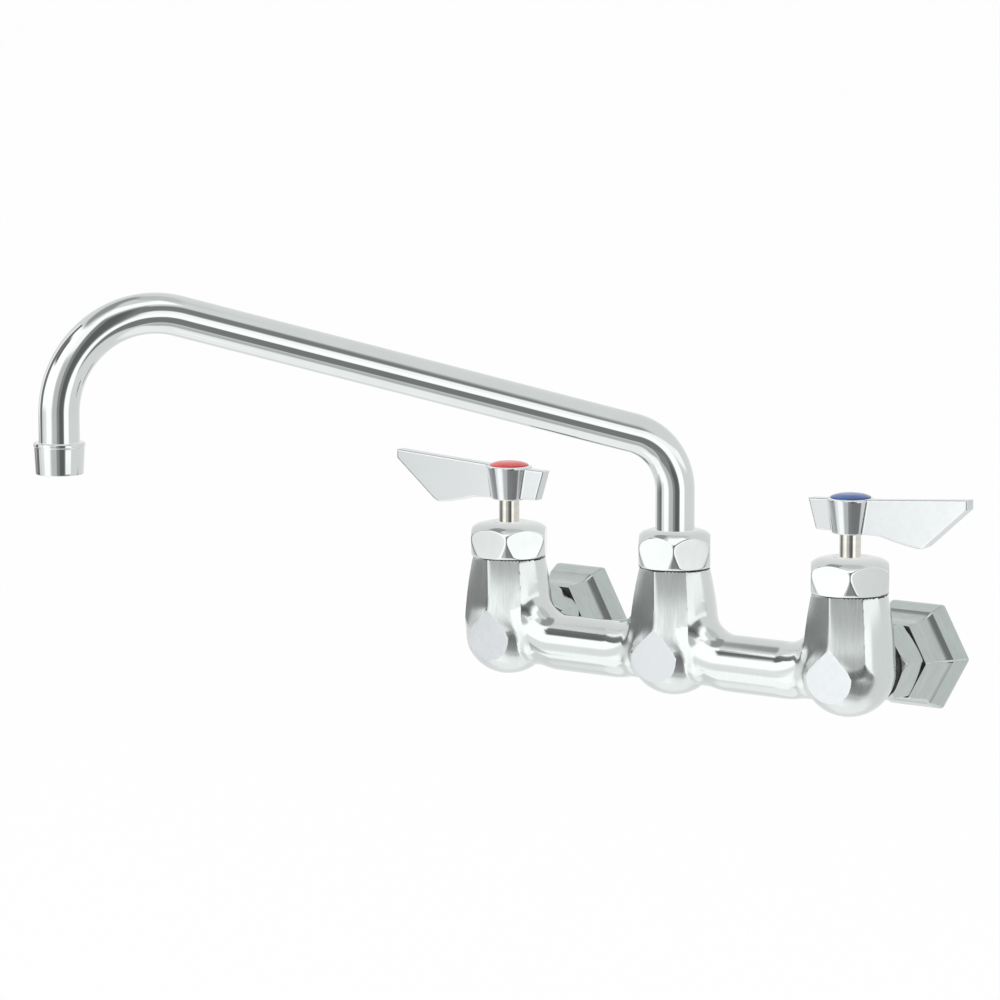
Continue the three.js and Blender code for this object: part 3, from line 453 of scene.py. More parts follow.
cast_chrome = satin_chrome("cast_chrome", (0.615, 0.64, 0.63), (0.598, 0.622, 0.612), 0.13, 0.17,
                           (700, 700, 90), (240, 240, 60), 0.002, satin="satin")
belted_chrome = satin_chrome("belted_chrome", (0.56, 0.585, 0.575), (0.48, 0.50, 0.49), 0.17, 0.23,
                             (800, 800, 90), (260, 260, 50), 0.02)
ground_chrome = satin_chrome("ground_chrome", (0.66, 0.675, 0.695), (0.63, 0.645, 0.665), 0.16, 0.22,
                             (300, 300, 300), (60, 60, 60), 0.01)
# A dark, rough chrome that paints the shade in the gaps under the nuts and between the bells, coupling nuts
# and casting.
painted_gap_shade = satin_chrome("painted_gap_shade", (0.060, 0.060, 0.056), (0.030, 0.030, 0.028), 0.42, 0.6,
                            (300, 300, 300), (120, 120, 120), 0.05)
body_points, body_quads = skin(body_solid, (-125.3, -84.1, -24.3), (125.3, -32.5, 50.3), BODY_STEP)
body_piece = add_piece("faucet_body_casting", "faucet_body", "body", cast_chrome,
                       body_points, body_quads, BODY_SHARP_ANGLE)
vertex = np.empty(len(body_piece.data.vertices) * 3, np.float32)
body_piece.data.vertices.foreach_get("co", vertex)
vertex_x, vertex_y, vertex_z = vertex.reshape(-1, 3).T / MM
beside_tower = np.abs(about_tower(vertex_x, vertex_y, vertex_z)[1])
# Full on the towers, more on their undersides, and fading to none along the cross tubes.
satin = (1 - ease((beside_tower - 16) / 12)) * (1 + 0.6 * ease((8 - vertex_z) / 8))
satin_values = body_piece.data.attributes.new("satin", "FLOAT", "POINT").data
satin_values.foreach_set("value", satin.astype(np.float32))
paint(body_piece, belted_chrome, on_facet)
paint(body_piece, ground_chrome, on_flat)
# Painted shade: the tower tops under the nuts are painted dark.
paint(body_piece, painted_gap_shade, on_seat)

# --- Wall flanges and coupling nuts -----------------------------------------------------------
# Each inlet has a hexagonal bell that stands on the wall and a loose coupling nut that draws it
# to the body. Both are brass, turned from hexagon bar or forged, satin polished and plated.

FLANGE_CORNER = 50.3 / 2 / math.cos(math.pi / 6)
FLANGE_NECK = 21.0
FLANGE_FRONT = 35.0
FLANGE_RIM_FRONT = 51.3
FLANGE_RIM_INSET = 3.2
FLANGE_SWEEP_RUN = 4.6
COUPLING_CORNER = 17.0 / math.cos(math.pi / 6)
COUPLING_FRONT = 18.0
COUPLING_REAR = 34.7
TAILPIECE_HOLE = 10.3
SOCKET_RADIUS = 10.4
SOCKET_FLOOR = 49.3
NUT_GAP_DEPTH = 0.7
BELL_GAP_DEPTH = 0.8
EASE_STEPS = 7


def eased(outline, radius, steps=EASE_STEPS):
    """A closed outline with its corners rounded: each corner becomes the quadratic Bezier curve
    between the two points that lie radius before and after it. Radius is one number or a list,
    with 0 for a corner that stays."""
    corner = np.array(outline, float)
    radius = np.broadcast_to(np.array(radius, float), len(corner))[:, None]
    arms = []
    for shift in (1, -1):
        arm = np.roll(corner, shift, 0) - corner
        length = np.linalg.norm(arm, axis=1, keepdims=True)
        arms.append(corner + arm / length * np.minimum(radius, 0.49 * length))
    t = np.linspace(0, 1, steps)[None, :, None]
    first, last = arms[0][:, None], arms[1][:, None]
    curve = (1 - t) ** 2 * first + 2 * t * (1 - t) * corner[:, None] + t * t * last
    return curve.reshape(-1, 2)


def hexagon_reach(angle, flats, corner_direction, sharpness):
    """Distance from the axis to the side of a hexagon, in each direction. The corners are
    rounded by taking a high mean power of the six sides' distances instead of the largest."""
    faces = corner_direction + np.radians(30 + 60 * np.arange(6))
    facing = np.maximum(np.cos(angle[..., None] - faces), 0)
    return flats / 2 / (facing ** sharpness).sum(-1) ** (1 / sharpness)


def grid_faces(rows, columns, closed_rows):
    """Quads of a grid that closes on itself around its columns, and around its rows too if
    closed_rows is true."""
    row = np.arange(rows if closed_rows else rows - 1)[:, None]
    column_index = np.arange(columns)[None, :]
    after, beside = (row + 1) % rows, (column_index + 1) % columns
    quad = [row * columns + column_index, row * columns + beside,
            after * columns + beside, after * columns + column_index]
    return np.stack(quad, -1).reshape(-1, 4)


def turned(outline, sides=96, reach=None):
    """A turned piece about Z: each outline point (radius, height) goes once round the axis.
    reach(angle, radius, height) gives another radius where the piece isn't round. An outline
    that starts on the axis ends there too. Any other closes on itself as a ring."""
    outline = np.array(outline, float)
    angle = np.linspace(0, 2 * math.pi, sides, endpoint=False)[None, :]
    radius = outline[:, :1] + 0 * angle
    height = outline[:, 1:] + 0 * angle
    if reach is not None:
        radius = reach(angle + 0 * radius, radius, height)
    points = np.stack([radius * np.cos(angle), radius * np.sin(angle), height], -1)
    return points.reshape(-1, 3), grid_faces(len(outline), sides, outline[0, 0] > 1e-6)


def towards_wall(points, x):
    """Moves points made about Z to an inlet, with their +Z end pointing at the wall."""
    return np.stack([points[:, 0] + x, points[:, 2] - WALL_TO_AXIS, -points[:, 1]], 1)


def flange_outline():
    """Half section of a bell: bore, neck, hollow sweep out to the rim, tapered rim, wall face
    and the threaded socket behind."""
    t = np.linspace(0, 1, 26)[:, None]
    foot = np.array([FLANGE_NECK, FLANGE_FRONT + 3])
    bend = np.array([FLANGE_NECK + 0.3, FLANGE_RIM_FRONT - FLANGE_SWEEP_RUN])
    rim = np.array([FLANGE_CORNER - FLANGE_RIM_INSET, FLANGE_RIM_FRONT])
    sweep = (1 - t) ** 2 * foot + 2 * t * (1 - t) * bend + t * t * rim
    front = eased([(TAILPIECE_HOLE, FLANGE_FRONT), (FLANGE_NECK - 1.5, FLANGE_FRONT),
                   (FLANGE_NECK, FLANGE_FRONT + 3)], [0.4, 1.0, 0.0])[:2 * EASE_STEPS]
    lip = eased([tuple(sweep[-2]), (FLANGE_CORNER - FLANGE_RIM_INSET, FLANGE_RIM_FRONT),
                 (FLANGE_CORNER, WALL_TO_AXIS - 1.5)], [0.0, 0.7, 0.0])[EASE_STEPS:2 * EASE_STEPS]
    back = eased([(FLANGE_CORNER - 0.6, WALL_TO_AXIS - 4), (FLANGE_CORNER, WALL_TO_AXIS - 1.5),
                  (FLANGE_CORNER, WALL_TO_AXIS), (SOCKET_RADIUS + 1.2, WALL_TO_AXIS),
                  (SOCKET_RADIUS, WALL_TO_AXIS - 1.2), (SOCKET_RADIUS, SOCKET_FLOOR),
                  (TAILPIECE_HOLE, SOCKET_FLOOR)], [0, 0.8, 0.5, 0.3, 0.3, 0.0, 0.0])[EASE_STEPS:]
    return np.concatenate([front, sweep[1:-1], lip, back])


def flange_reach(angle, radius, height):
    """Round inside the bore and socket, hexagonal outside: the listed radius is a corner's."""
    hexagonal = hexagon_reach(angle, 2 * radius * math.cos(math.pi / 6), 0.0, 70)
    share = np.clip((radius - 11.8) / 3.0, 0, 1)
    return radius + (hexagonal - radius) * share * share * (3 - 2 * share)


def coupling_outline():
    """Half section of a coupling nut: chamfered front, rear wall with the tailpiece's hole."""
    return eased(
        [(14.6, COUPLING_FRONT), (COUPLING_CORNER - 2.9, COUPLING_FRONT),
         (COUPLING_CORNER, COUPLING_FRONT + 2.9), (COUPLING_CORNER, COUPLING_REAR - 0.9),
         (COUPLING_CORNER - 1.8, COUPLING_REAR), (TAILPIECE_HOLE, COUPLING_REAR),
         (TAILPIECE_HOLE, COUPLING_REAR - 3.3), (14.6, COUPLING_REAR - 3.3)],
        [0.5, 0.5, 0.3, 0.3, 0.5, 0.5, 0.2, 0.2],
    )


def coupling_reach(turn):
    """The hexagon that cuts the nut's round envelope, turned about the inlet's axis."""
    def reach(angle, radius, height):
        return smooth_min(radius, hexagon_reach(angle, 34.0, turn, 200), 0.5)
    return reach


def dense(outline, spacing):
    """An outline with extra points on its long stretches, no further apart than spacing."""
    outline = np.array(outline, float)
    ahead = np.roll(outline, -1, 0)
    length = np.linalg.norm(ahead - outline, axis=1)
    counts = np.maximum(1, np.ceil(length / spacing)).astype(int)
    share = [np.arange(count) / count for count in counts]
    return np.concatenate([a + (b - a) * s[:, None] for a, b, s in zip(outline, ahead, share)])


# This chrome is darker than the body's: painted shade on the bells and coupling nuts beside the wall.
shaded_inlet_chrome = satin_chrome("shaded_inlet_chrome", (0.48, 0.52, 0.505), (0.43, 0.465, 0.45), 0.10, 0.17,
                            (120, 900, 120), (90, 200, 90), 0.012)
INLETS = [("hot", -INLET_OFFSET, 35.0), ("cold", INLET_OFFSET, -6.5)]


def in_nut_gap(x, y, z):
    """The front end of a coupling nut where it faces the casting: painted dark as the shade in the gap
    there.
    """
    return y + WALL_TO_AXIS < COUPLING_FRONT + NUT_GAP_DEPTH


def in_bell_gap(x, y, z):
    """The front edge of a bell's neck where the coupling nut bears on it: painted dark as the shade in the
    gap there.
    """
    return y + WALL_TO_AXIS < FLANGE_FRONT + BELL_GAP_DEPTH


for label, x, turn_degrees in INLETS:
    bell = turned(dense(flange_outline(), 1.2), 360, flange_reach)
    nut = turned(dense(coupling_outline(), 0.6), 360, coupling_reach(math.radians(turn_degrees)))
    for name, node, (points, faces), in_gap in (("wall_bell", "wall_flange", bell, in_bell_gap),
                                                ("coupling_ring", "coupling_nut", nut, in_nut_gap)):
        piece = add_piece(f"{label}_{name}", f"{label}_{node}", "body", shaded_inlet_chrome,
                          towards_wall(points, x), faces, math.radians(28))
        # Painted shade: the faces in the gaps between bell, coupling nut and casting are painted dark.
        paint(piece, painted_gap_shade, in_gap)

# --- Bonnet nuts and spout nut ----------------------------------------------------------------
# Three brass nuts with a domed top hold the cartridges and the spout. Their hexagon shows as
# six flats on a rounded, downward-coned body. They are buffed to a mirror before plating.

NUT_CORNER = math.radians(-56)
BONNET = {"flats": 36.7, "hex_height": 14.0, "dome": 3.0, "foot": 37.0,
          "bore": 14.8, "bore_height": 11.8, "hole": 8.45}
SPOUT_NUT = {"flats": 34.6, "hex_height": 14.5, "dome": 3.5, "foot": 40.5,
             "bore": 14.38, "bore_height": 13.4, "hole": 9.88}
NUTS = [("hot_bonnet_cap", "hot_bonnet_nut", -INLET_OFFSET, BONNET),
        ("cold_bonnet_cap", "cold_bonnet_nut", INLET_OFFSET, BONNET),
        ("spout_cap_nut", "spout_nut", 0, SPOUT_NUT)]


def bright_chrome(name, light, dark, smooth, smudged):
    """Mirror chromium with smudges that dull it here and there and the faint waves of buffing."""
    material, tree, shader, place = start_material(name, 1.0)
    smudge = use_group(tree, handling, place, Size=30.0).outputs["Smudge"]
    waves = noise(tree, place, Scale=110.0, Detail=1.0)
    finish(tree, shader, blend_colours(tree, smudge, light, dark),
           spread(tree, smudge, smooth, smudged), waves, 0.12, 0.0002)
    return material


def nut_outline(flats, hex_height, dome, foot, bore, bore_height, hole):
    """Half section of a domed nut: foot chamfered underneath, coned side that the flats cut
    into, rounded shoulder, low dome, roof hole and the bore for its thread."""
    corner = flats / 2 / math.cos(math.pi / 6)
    crown = hole + 2.2
    top = hex_height + dome
    outline = [
        (bore, 0), (flats / 2 + 0.35, 0), (flats / 2 + 1.25, 0.9), (corner - 0.1, hex_height * 0.55),
        (corner - 0.1, hex_height * 0.8), (flats / 2 + 1.0, hex_height * 0.97),
        ((flats / 2 + crown) / 2 + 1.2, top - dome * 0.3),
        (crown, top), (hole, top), (hole, bore_height), (bore, bore_height),
    ]
    soft = [0.3, 0.3, 0.5, 4.0, 2.0, 1.8, 4.0, 0.5, 0.3, 0.0, 0.0]
    return eased(outline, soft, 11) + [0, foot]


def nut_reach(flats):
    """The hexagon of a nut, which cuts its round envelope with an almost sharp edge."""
    def reach(angle, radius, height):
        return smooth_min(radius, hexagon_reach(angle, flats, NUT_CORNER, 400), 0.35)
    return reach


mirror_chrome = bright_chrome("mirror_chrome", (0.64, 0.66, 0.655), (0.59, 0.61, 0.605), 0.03, 0.07)
for name, node, x, size in NUTS:
    points, faces = turned(dense(nut_outline(**size), 0.35), 420, nut_reach(size["flats"]))
    piece = add_piece(name, node, "body", mirror_chrome, points + [x, -WALL_TO_AXIS, 0], faces,
                      math.radians(28))

# --- Valve stems ------------------------------------------------------------------------------
# A nickel-plated brass stem turns each ceramic disc. Its shaft shows between the bonnet and the
# lever, with fine rings left by the lathe.

HOT_LEVER_TURN = math.radians(184.3)
HANDLES = [("hot", -INLET_OFFSET, HOT_LEVER_TURN), ("cold", INLET_OFFSET, 0.0)]


def turned_metal(name, light, dark, smooth, rough, ring_scale, bump):
    """Lathe-turned metal: fine level rings about the upright axis, with smudges."""
    material, tree, shader, place = start_material(name, 1.0)
    marks = use_group(tree, handling, place, Size=60.0)
    rings = use_group(tree, grain, place, Stretch=(40, 40, ring_scale), Blotch=(90, 90, 420))
    tone = spread(tree, rings.outputs["Blotches"], 0.0, 1.0, 0.35, 0.65)
    finish(tree, shader, blend_colours(tree, tone, dark, light),
           spread(tree, marks.outputs["Smudge"], smooth, rough),
           rings.outputs["Streaks"], bump, 0.00004)
    return material


nickel = turned_metal("nickel_plate", (0.66, 0.645, 0.60), (0.58, 0.56, 0.51), 0.03, 0.06, 5200, 0.04)
STEM_OUTLINE = [
    (0, 25.0), (5.1, 25.0), (5.1, 26.8), (9.65, 26.8), (9.65, 30.2), (5.1, 30.2),
    (5.1, 64.9), (4.0, 64.9), (4.0, 74.3), (2.3, 74.3), (2.3, 62.9), (0, 62.9),
]
STEM_EASE = [0, 0.4, 0.2, 0.4, 0.4, 0.2, 0.5, 0.2, 0.6, 0.3, 0.1, 0]

# --- Lever handles ----------------------------------------------------------------------------
# Zinc castings, one wing each, satin plated: a conical hub on the stem's splines and a thin
# upright blade with a slanted end. The edges are softened by tumbling.

HUB_FOOT = 65.2
HUB_TOP = 81.4
HUB_FOOT_RADIUS = 8.7
HUB_TOP_RADIUS = 11.4
BLADE_THICKNESS = 6.0
BLADE_EDGE = 0.7
LEVER_STEP = 0.45


def blade_outline():
    """The blade's outline in its own plane, as (distance from the stem, height): stub, knee and
    slanted tip, with the knee's approach as a quadratic Bezier curve."""
    t = np.linspace(0, 1, 9)[:, None]
    knee = (1 - t) ** 2 * [18.5, 65.2] + 2 * t * (1 - t) * [30.75, 61.8] + t * t * [41.0, 61.2]
    stub = [(-22.2, HUB_TOP - 1), (-17.7, 65.9)]
    tip = [(43.5, 62.4), (66.0, 81.5), (66.0, 86.0), (11.4, 82.0)]
    return np.concatenate([stub, knee, tip])


def outline_distance(outline, x, z):
    """Signed distance to a closed outline: the least distance to its edges, negative inside,
    where a ray crosses an odd number of them."""
    nearest = np.full(x.shape, 1e9)
    inside = np.zeros(x.shape, bool)
    for (ax, az), (bx, bz) in zip(outline, np.roll(outline, -1, 0)):
        ex, ez = bx - ax, bz - az
        share = np.clip(((x - ax) * ex + (z - az) * ez) / (ex * ex + ez * ez), 0, 1)
        nearest = np.minimum(nearest, np.hypot(x - ax - share * ex, z - az - share * ez))
        if abs(ez) > 1e-9:
            level = (z - az) / ez
            inside ^= (az > z) != (bz > z)
            inside ^= ((az > z) != (bz > z)) & (x >= ax + level * ex)
    return np.where(inside, -nearest, nearest)


def rounded_slab(flat, across, radius):
    """A slab whose outline distance is flat and whose distance past its faces is across, with
    all edges rounded."""
    a, b = flat + radius, across + radius
    return np.hypot(np.maximum(a, 0), np.maximum(b, 0)) + np.minimum(np.maximum(a, b), 0) - radius


def lever_solid(x, y, z):
    """The hub and the blade, joined with a small fillet, minus the spline hole, the screw's
    counterbore and the button's seat."""
    around = np.hypot(x, y)
    share = (z - HUB_FOOT) / (HUB_TOP - HUB_FOOT)
    hub_radius = HUB_FOOT_RADIUS + (HUB_TOP_RADIUS - HUB_FOOT_RADIUS) * share
    hub = rounded_slab(around - hub_radius, np.maximum(HUB_FOOT - z, z - HUB_TOP), 0.5)
    blade = rounded_slab(outline_distance(blade_outline(), x, z),
                         np.abs(y) - BLADE_THICKNESS / 2, BLADE_EDGE)
    solid = smooth_min(hub, blade, 0.8)
    solid = np.maximum(solid, -column(around, z, HUB_TOP, 99.0, 10.0))
    solid = np.maximum(solid, -column(around, z, 76.5, 99.0, 6.3))
    solid = np.maximum(solid, -column(around, z, 60.0, 74.6, 4.3))
    return np.maximum(solid, -column(around, z, 60.0, 80.0, 2.3))


satin_lever = satin_chrome("satin_chrome", (0.60, 0.615, 0.625), (0.575, 0.59, 0.60), 0.07, 0.12,
                           (420, 420, 420), (60, 60, 60), 0.008)
lever_points, lever_quads = skin(lever_solid, (-23.3, -13.1, 59.9), (67.4, 13.1, 87.3), LEVER_STEP)


def place_handle(points, x, turn):
    """Turns points about the stem's axis and moves them to its tower."""
    c, s = math.cos(turn), math.sin(turn)
    return np.stack([points[:, 0] * c - points[:, 1] * s + x,
                     points[:, 0] * s + points[:, 1] * c - WALL_TO_AXIS, points[:, 2]], 1)


for label, x, turn in HANDLES:
    piece = add_piece(f"{label}_wing_lever", f"{label}_lever_handle", f"{label}_handle", satin_lever,
                      place_handle(lever_points, x, turn), lever_quads, math.radians(50))
    points, faces = turned(eased(STEM_OUTLINE, STEM_EASE), 96)
    piece = add_piece(f"{label}_valve_spindle", f"{label}_stem", f"{label}_handle", nickel,
                      place_handle(points, x, turn), faces, math.radians(35))

# --- Index buttons ----------------------------------------------------------------------------
# Moulded plastic buttons, red for hot and blue for cold, snapped into the hubs over the screws.
# Their glossy domes are a little paler where the light falls through the skin of the plastic.

BUTTON_OUTLINE = [
    (0, 79.7), (6.0, 79.7), (6.0, 81.7), (9.7, 81.7), (9.7, 82.5), (6.6, 83.7), (2.5, 84.1), (0, 84.1),
]
BUTTON_EASE = [0, 0.4, 0.2, 0.3, 0.7, 1.6, 1.6, 0]


def moulded_plastic(name, colour, pale, roughness):
    """Glossy moulded plastic: faint cloudiness in the colour, orange peel and fine scuffs."""
    material, tree, shader, place = start_material(name, 0.0)
    smudge = use_group(tree, handling, place, Size=160.0).outputs["Smudge"]
    peel = noise(tree, place, Scale=420.0, Detail=2.0)
    finish(tree, shader, blend_colours(tree, smudge, colour, pale),
           spread(tree, smudge, roughness, roughness + 0.14), peel, 0.08, 0.0001)
    return material


BUTTONS = {
    "hot": (moulded_plastic("red_plastic", (0.62, 0.045, 0.05), (0.72, 0.09, 0.09), 0.16), "red_plastic"),
    "cold": (moulded_plastic("blue_plastic", (0.02, 0.07, 0.27), (0.04, 0.11, 0.34), 0.16), "blue_plastic"),
}
for label, x, turn in HANDLES:
    plastic, slot_name = BUTTONS[label]
    points, faces = turned(eased(BUTTON_OUTLINE, BUTTON_EASE, 9), 120)
    piece = add_piece(f"{label}_button", f"{label}_index_button", f"{label}_handle", plastic,
                      place_handle(points, x, turn), faces, math.radians(35))

# --- Spout tube -------------------------------------------------------------------------------
# One length of 3/4 in brass tube, bent twice on a mandrel, polished along its length and plated.
# It rises from its nut, runs out at a slight climb and turns down to the outlet.

TUBE_OUTER = 9.525
TUBE_INNER = 8.325
SPOUT_REACH = 304.8
SPOUT_CORNER = 100.0
SPOUT_RISE = math.radians(15.6)
POST_BEND = 30.0
TIP_BEND = 45.0
SPOUT_TURN = math.radians(-122.3)
SPOUT_FOOT = 35.25
SPOUT_END = 104.2


def spout_path():
    """The tube's axis in its own plane, as (along, up) points with their directions: a straight
    post, an arc of 30 mm through 90 degrees less the rise, the straight run, an arc of 45 mm
    through 90 degrees plus the rise, and the straight drop."""
    tip_corner = SPOUT_CORNER + SPOUT_REACH * math.tan(SPOUT_RISE)
    post_start = SPOUT_CORNER - POST_BEND * math.tan((math.pi / 2 - SPOUT_RISE) / 2)
    tip_end = tip_corner - TIP_BEND * math.tan((math.pi / 2 + SPOUT_RISE) / 2)
    first = np.linspace(math.pi, math.pi / 2 + SPOUT_RISE, 49)
    second = np.linspace(math.pi / 2 + SPOUT_RISE, 0, 73)
    lower = np.linspace(SPOUT_FOOT, post_start, 24)[:-1]
    drop = np.linspace(tip_end, SPOUT_END, 14)[1:]
    bends = [np.stack([POST_BEND + POST_BEND * np.cos(first), post_start + POST_BEND * np.sin(first)], 1),
             np.stack([SPOUT_REACH - TIP_BEND + TIP_BEND * np.cos(second),
                       tip_end + TIP_BEND * np.sin(second)], 1)]
    run = np.linspace(bends[0][-1], bends[1][0], 80)[1:-1]
    line = np.concatenate([np.stack([0 * lower, lower], 1), bends[0], run, bends[1],
                           np.stack([0 * drop + SPOUT_REACH, drop], 1)])
    heading = np.concatenate([np.full(len(lower), math.pi / 2), first - math.pi / 2,
                              np.full(len(run), SPOUT_RISE), second - math.pi / 2,
                              np.full(len(drop), -math.pi / 2)])
    return line, np.stack([np.cos(heading), np.sin(heading)], 1)


def spout_surface():
    """A round section carried along the path: the centre plus radius times (cos in the spout's
    plane, across its direction, and sin square to the plane). The outside goes from foot to
    end and the inside comes back, so the tube has its wall."""
    line, heading = spout_path()
    place = np.concatenate([line, line[::-1]])
    side = np.concatenate([heading, heading[::-1]])
    outer = np.full(len(line), TUBE_OUTER)
    outer[[0, -1]] -= 0.3
    radius = np.concatenate([outer, np.full(len(line), TUBE_INNER)])[:, None]
    angle = np.linspace(0, 2 * math.pi, 128, endpoint=False)[None, :]
    along = place[:, :1] - side[:, 1:] * radius * np.cos(angle)
    up = place[:, 1:] + side[:, :1] * radius * np.cos(angle)
    across = -radius * np.sin(angle)
    c, s = math.cos(SPOUT_TURN), math.sin(SPOUT_TURN)
    points = np.stack([along * c - across * s, along * s + across * c - WALL_TO_AXIS, up], -1)
    return points.reshape(-1, 3), grid_faces(len(place), angle.size, True)


spout_chrome = bright_chrome("spout_chrome", (0.63, 0.65, 0.645), (0.60, 0.62, 0.615), 0.03, 0.055)
points, faces = spout_surface()
piece = add_piece("bent_spout", "spout_tube", "spout", spout_chrome, points, faces, math.radians(28))

# --- Outlet collar ----------------------------------------------------------------------------
# A short tapered brass collar, turned and plated, screws on the end of the tube and holds the
# stream former up against its washer.

COLLAR_FOOT = 98.0
COLLAR_TOP = 112.8
COLLAR_OUTLINE = [
    (8.2, COLLAR_FOOT), (11.1, COLLAR_FOOT), (11.75, 110.7), (12.025, 111.0), (12.025, 112.3),
    (11.5, COLLAR_TOP), (9.825, COLLAR_TOP), (9.825, 98.9), (8.2, 98.9),
]
COLLAR_EASE = [0.3, 0.5, 0.2, 0.2, 0.4, 0.4, 0.3, 0.2, 0.2]
outlet_place = [SPOUT_REACH * math.cos(SPOUT_TURN), SPOUT_REACH * math.sin(SPOUT_TURN) - WALL_TO_AXIS, 0]
points, faces = turned(dense(eased(COLLAR_OUTLINE, COLLAR_EASE, 9), 0.8), 160)
piece = add_piece("outlet_collar", "outlet_nozzle", "spout", mirror_chrome, points + outlet_place, faces,
                  math.radians(35))

# --- Inner pieces -----------------------------------------------------------------------------
# What the faucet holds inside keeps its construction shape: brass cartridges, shanks and
# tailpieces, ceramic discs, rubber seals, fibre and acetal washers and steel screws. Little of
# it shows, at the wall side and up into the outlet.


def dull_solid(name, colour, other, roughness, scale, bump):
    """Unplated, unpainted matter: cloudy colour and a fine grainy surface."""
    material, tree, shader, place = start_material(name, 0.0)
    cloud = noise(tree, place, Scale=scale, Detail=5.0)
    tone = spread(tree, cloud, 0.0, 1.0, 0.35, 0.65)
    speck = noise(tree, place, Scale=scale * 8, Detail=2.0)
    finish(tree, shader, blend_colours(tree, tone, colour, other),
           spread(tree, tone, roughness, roughness + 0.15), speck, bump, 0.0001)
    return material


INNER = {
    "nickel": (nickel, ["cartridge_body"]),
    "brass": (turned_metal("turned_brass", (0.80, 0.58, 0.27), (0.62, 0.42, 0.18), 0.22, 0.36, 2600, 0.4),
              ["inlet_tailpiece", "spout_shank"]),
    "steel": (turned_metal("screw_steel", (0.60, 0.60, 0.59), (0.45, 0.45, 0.45), 0.22, 0.34, 2000, 0.3),
              ["handle_screw"]),
    "ceramic": (dull_solid("fired_ceramic", (0.86, 0.84, 0.79), (0.80, 0.78, 0.73), 0.16, 120.0, 0.03),
                ["fixed_disc", "moving_disc"]),
    "rubber": (dull_solid("seal_rubber", (0.018, 0.018, 0.02), (0.035, 0.035, 0.036), 0.5, 300.0, 0.15),
               ["seat_seal", "stem_o_ring", "lower_o_ring", "upper_o_ring", "outlet_washer"]),
    "fibre": (dull_solid("washer_fibre", (0.26, 0.06, 0.04), (0.18, 0.04, 0.03), 0.7, 500.0, 0.4),
              ["union_washer"]),
    "white_plastic": (dull_solid("acetal", (0.80, 0.80, 0.77), (0.74, 0.74, 0.71), 0.35, 90.0, 0.05),
                      ["thrust_washer", "stream_former"]),
}
for slot_name, (material, endings) in INNER.items():
    for name, node in frame["nodes"].items():
        if any(name.endswith(ending) for ending in endings):
            node.data.materials.clear()
            node.data.materials.append(material)

# --- Floor, light and camera ------------------------------------------------------------------
# A pale floor well below, since the faucet hangs on a wall, and a white studio tent round the
# faucet. Only reflections see the tent: bright panels and grey flags in it draw the chrome.

FLOOR_HEIGHT = -0.25
FLOOR_HALF = 60.0
FLOOR_WHITENESS = 0.975
WORLD_LIGHT = 0.6
WORLD_SEEN = 1.0
LAMP_AIM = (0, -0.1, 0)
CAMERA_PLACE = (1.2903, -1.8432, 0.3571)
CAMERA_LOOKS_DOWN = math.radians(7.37)
CAMERA_TURN = math.radians(38.09)
CAMERA_LENS = 165.35
TENT_RADIUS = 2.3
TENT_CENTRE = (-0.03, -0.10, 0.05)
CLOTH_GLOW = 1.0
# Panels and flags hung in the tent, later ones over earlier ones: glow, the azimuths and the
# elevations that each spans in degrees, and how softly it fades out sideways and up and down.
# Azimuth 0 is straight in front of the faucet, along -Y, and 90 is along +X.
PANELS = [
    (1.30, (-200, 200), (-95, -54), (9, 9)),
    (0.68, (22, 92), (-68, -50), (14, 8)),
    (1.50, (-58, 10), (-95, -44), (12, 10)),
    (0.80, (110, 250), (64, 100), (14, 8)),
    (0.45, (-125, -25), (54, 76), (16, 6)),
    (1.60, (-43, -3), (-48, 8), (9, 14)),
    (1.50, (-60, -36), (-52, -24), (8, 10)),
    (1.65, (-56, -1), (0, 52), (8, 6)),
    (1.15, (-46, -31), (-24, 0), (6, 9)),
    (0.20, (-58, -39), (26, 43), (6, 5)),
    (0.76, (3, 30), (-50, 24), (7, 7)),
    (1.50, (-4, 24), (28, 60), (6, 6)),
    (1.60, (-2, 102), (55, 74), (12, 5)),
    (0.36, (25, 66), (-46, 50), (6, 6)),
    (0.17, (38, 60), (-24, 44), (6, 8)),
    (0.28, (58, 90), (-46, -14), (8, 6)),
    (0.30, (58, 96), (20, 46), (16, 8)),
    (1.60, (65, 93), (-13, 17), (5, 5)),
    (1.45, (66, 128), (4, 17), (6, 4)),
]
FLAG_NEAR_EDGE = (-0.51, -0.50)
FLAG_FAR_EDGE = (-1.25, 0.02)
# How far along the card from its near edge each column stands, the heights of its rows, and
# the glow of each row from the near column to the far one.
FLAG_COLUMNS = (0.0, 0.2, 0.32, 0.46, 1.0)
FLAG_ROWS = (-0.45, -0.12, 0.0, 0.06, 0.72)
FLAG_GLOW = (
    (1.00, 1.00, 1.00, 1.00, 1.00),
    (0.35, 0.35, 0.40, 0.45, 0.50),
    (0.20, 0.20, 0.35, 0.35, 0.35),
    (0.20, 0.30, 1.60, 1.10, 0.90),
    (0.20, 0.30, 1.60, 1.10, 0.90),
)


def hump(angle, span, soft):
    """1 inside a span of angles, falling smoothly to 0 over soft degrees about each end."""
    return ease((angle - span[0]) / soft + 0.5) * ease((span[1] - angle) / soft + 0.5)


def tent_glow(azimuth, elevation):
    """Brightness in each direction: the cloth's, then each panel laid over it by its two humps.
    A panel is looked for on both sides of the seam at 180 degrees."""
    glow = np.full((len(elevation), len(azimuth)), CLOTH_GLOW)
    for strength, across, up, (soft_across, soft_up) in PANELS:
        sideways = np.max([hump(azimuth + turn, across, soft_across) for turn in (-360, 0, 360)], 0)
        share = hump(elevation, up, soft_up)[:, None] * sideways[None, :]
        glow = glow * (1 - share) + strength * share
    return glow


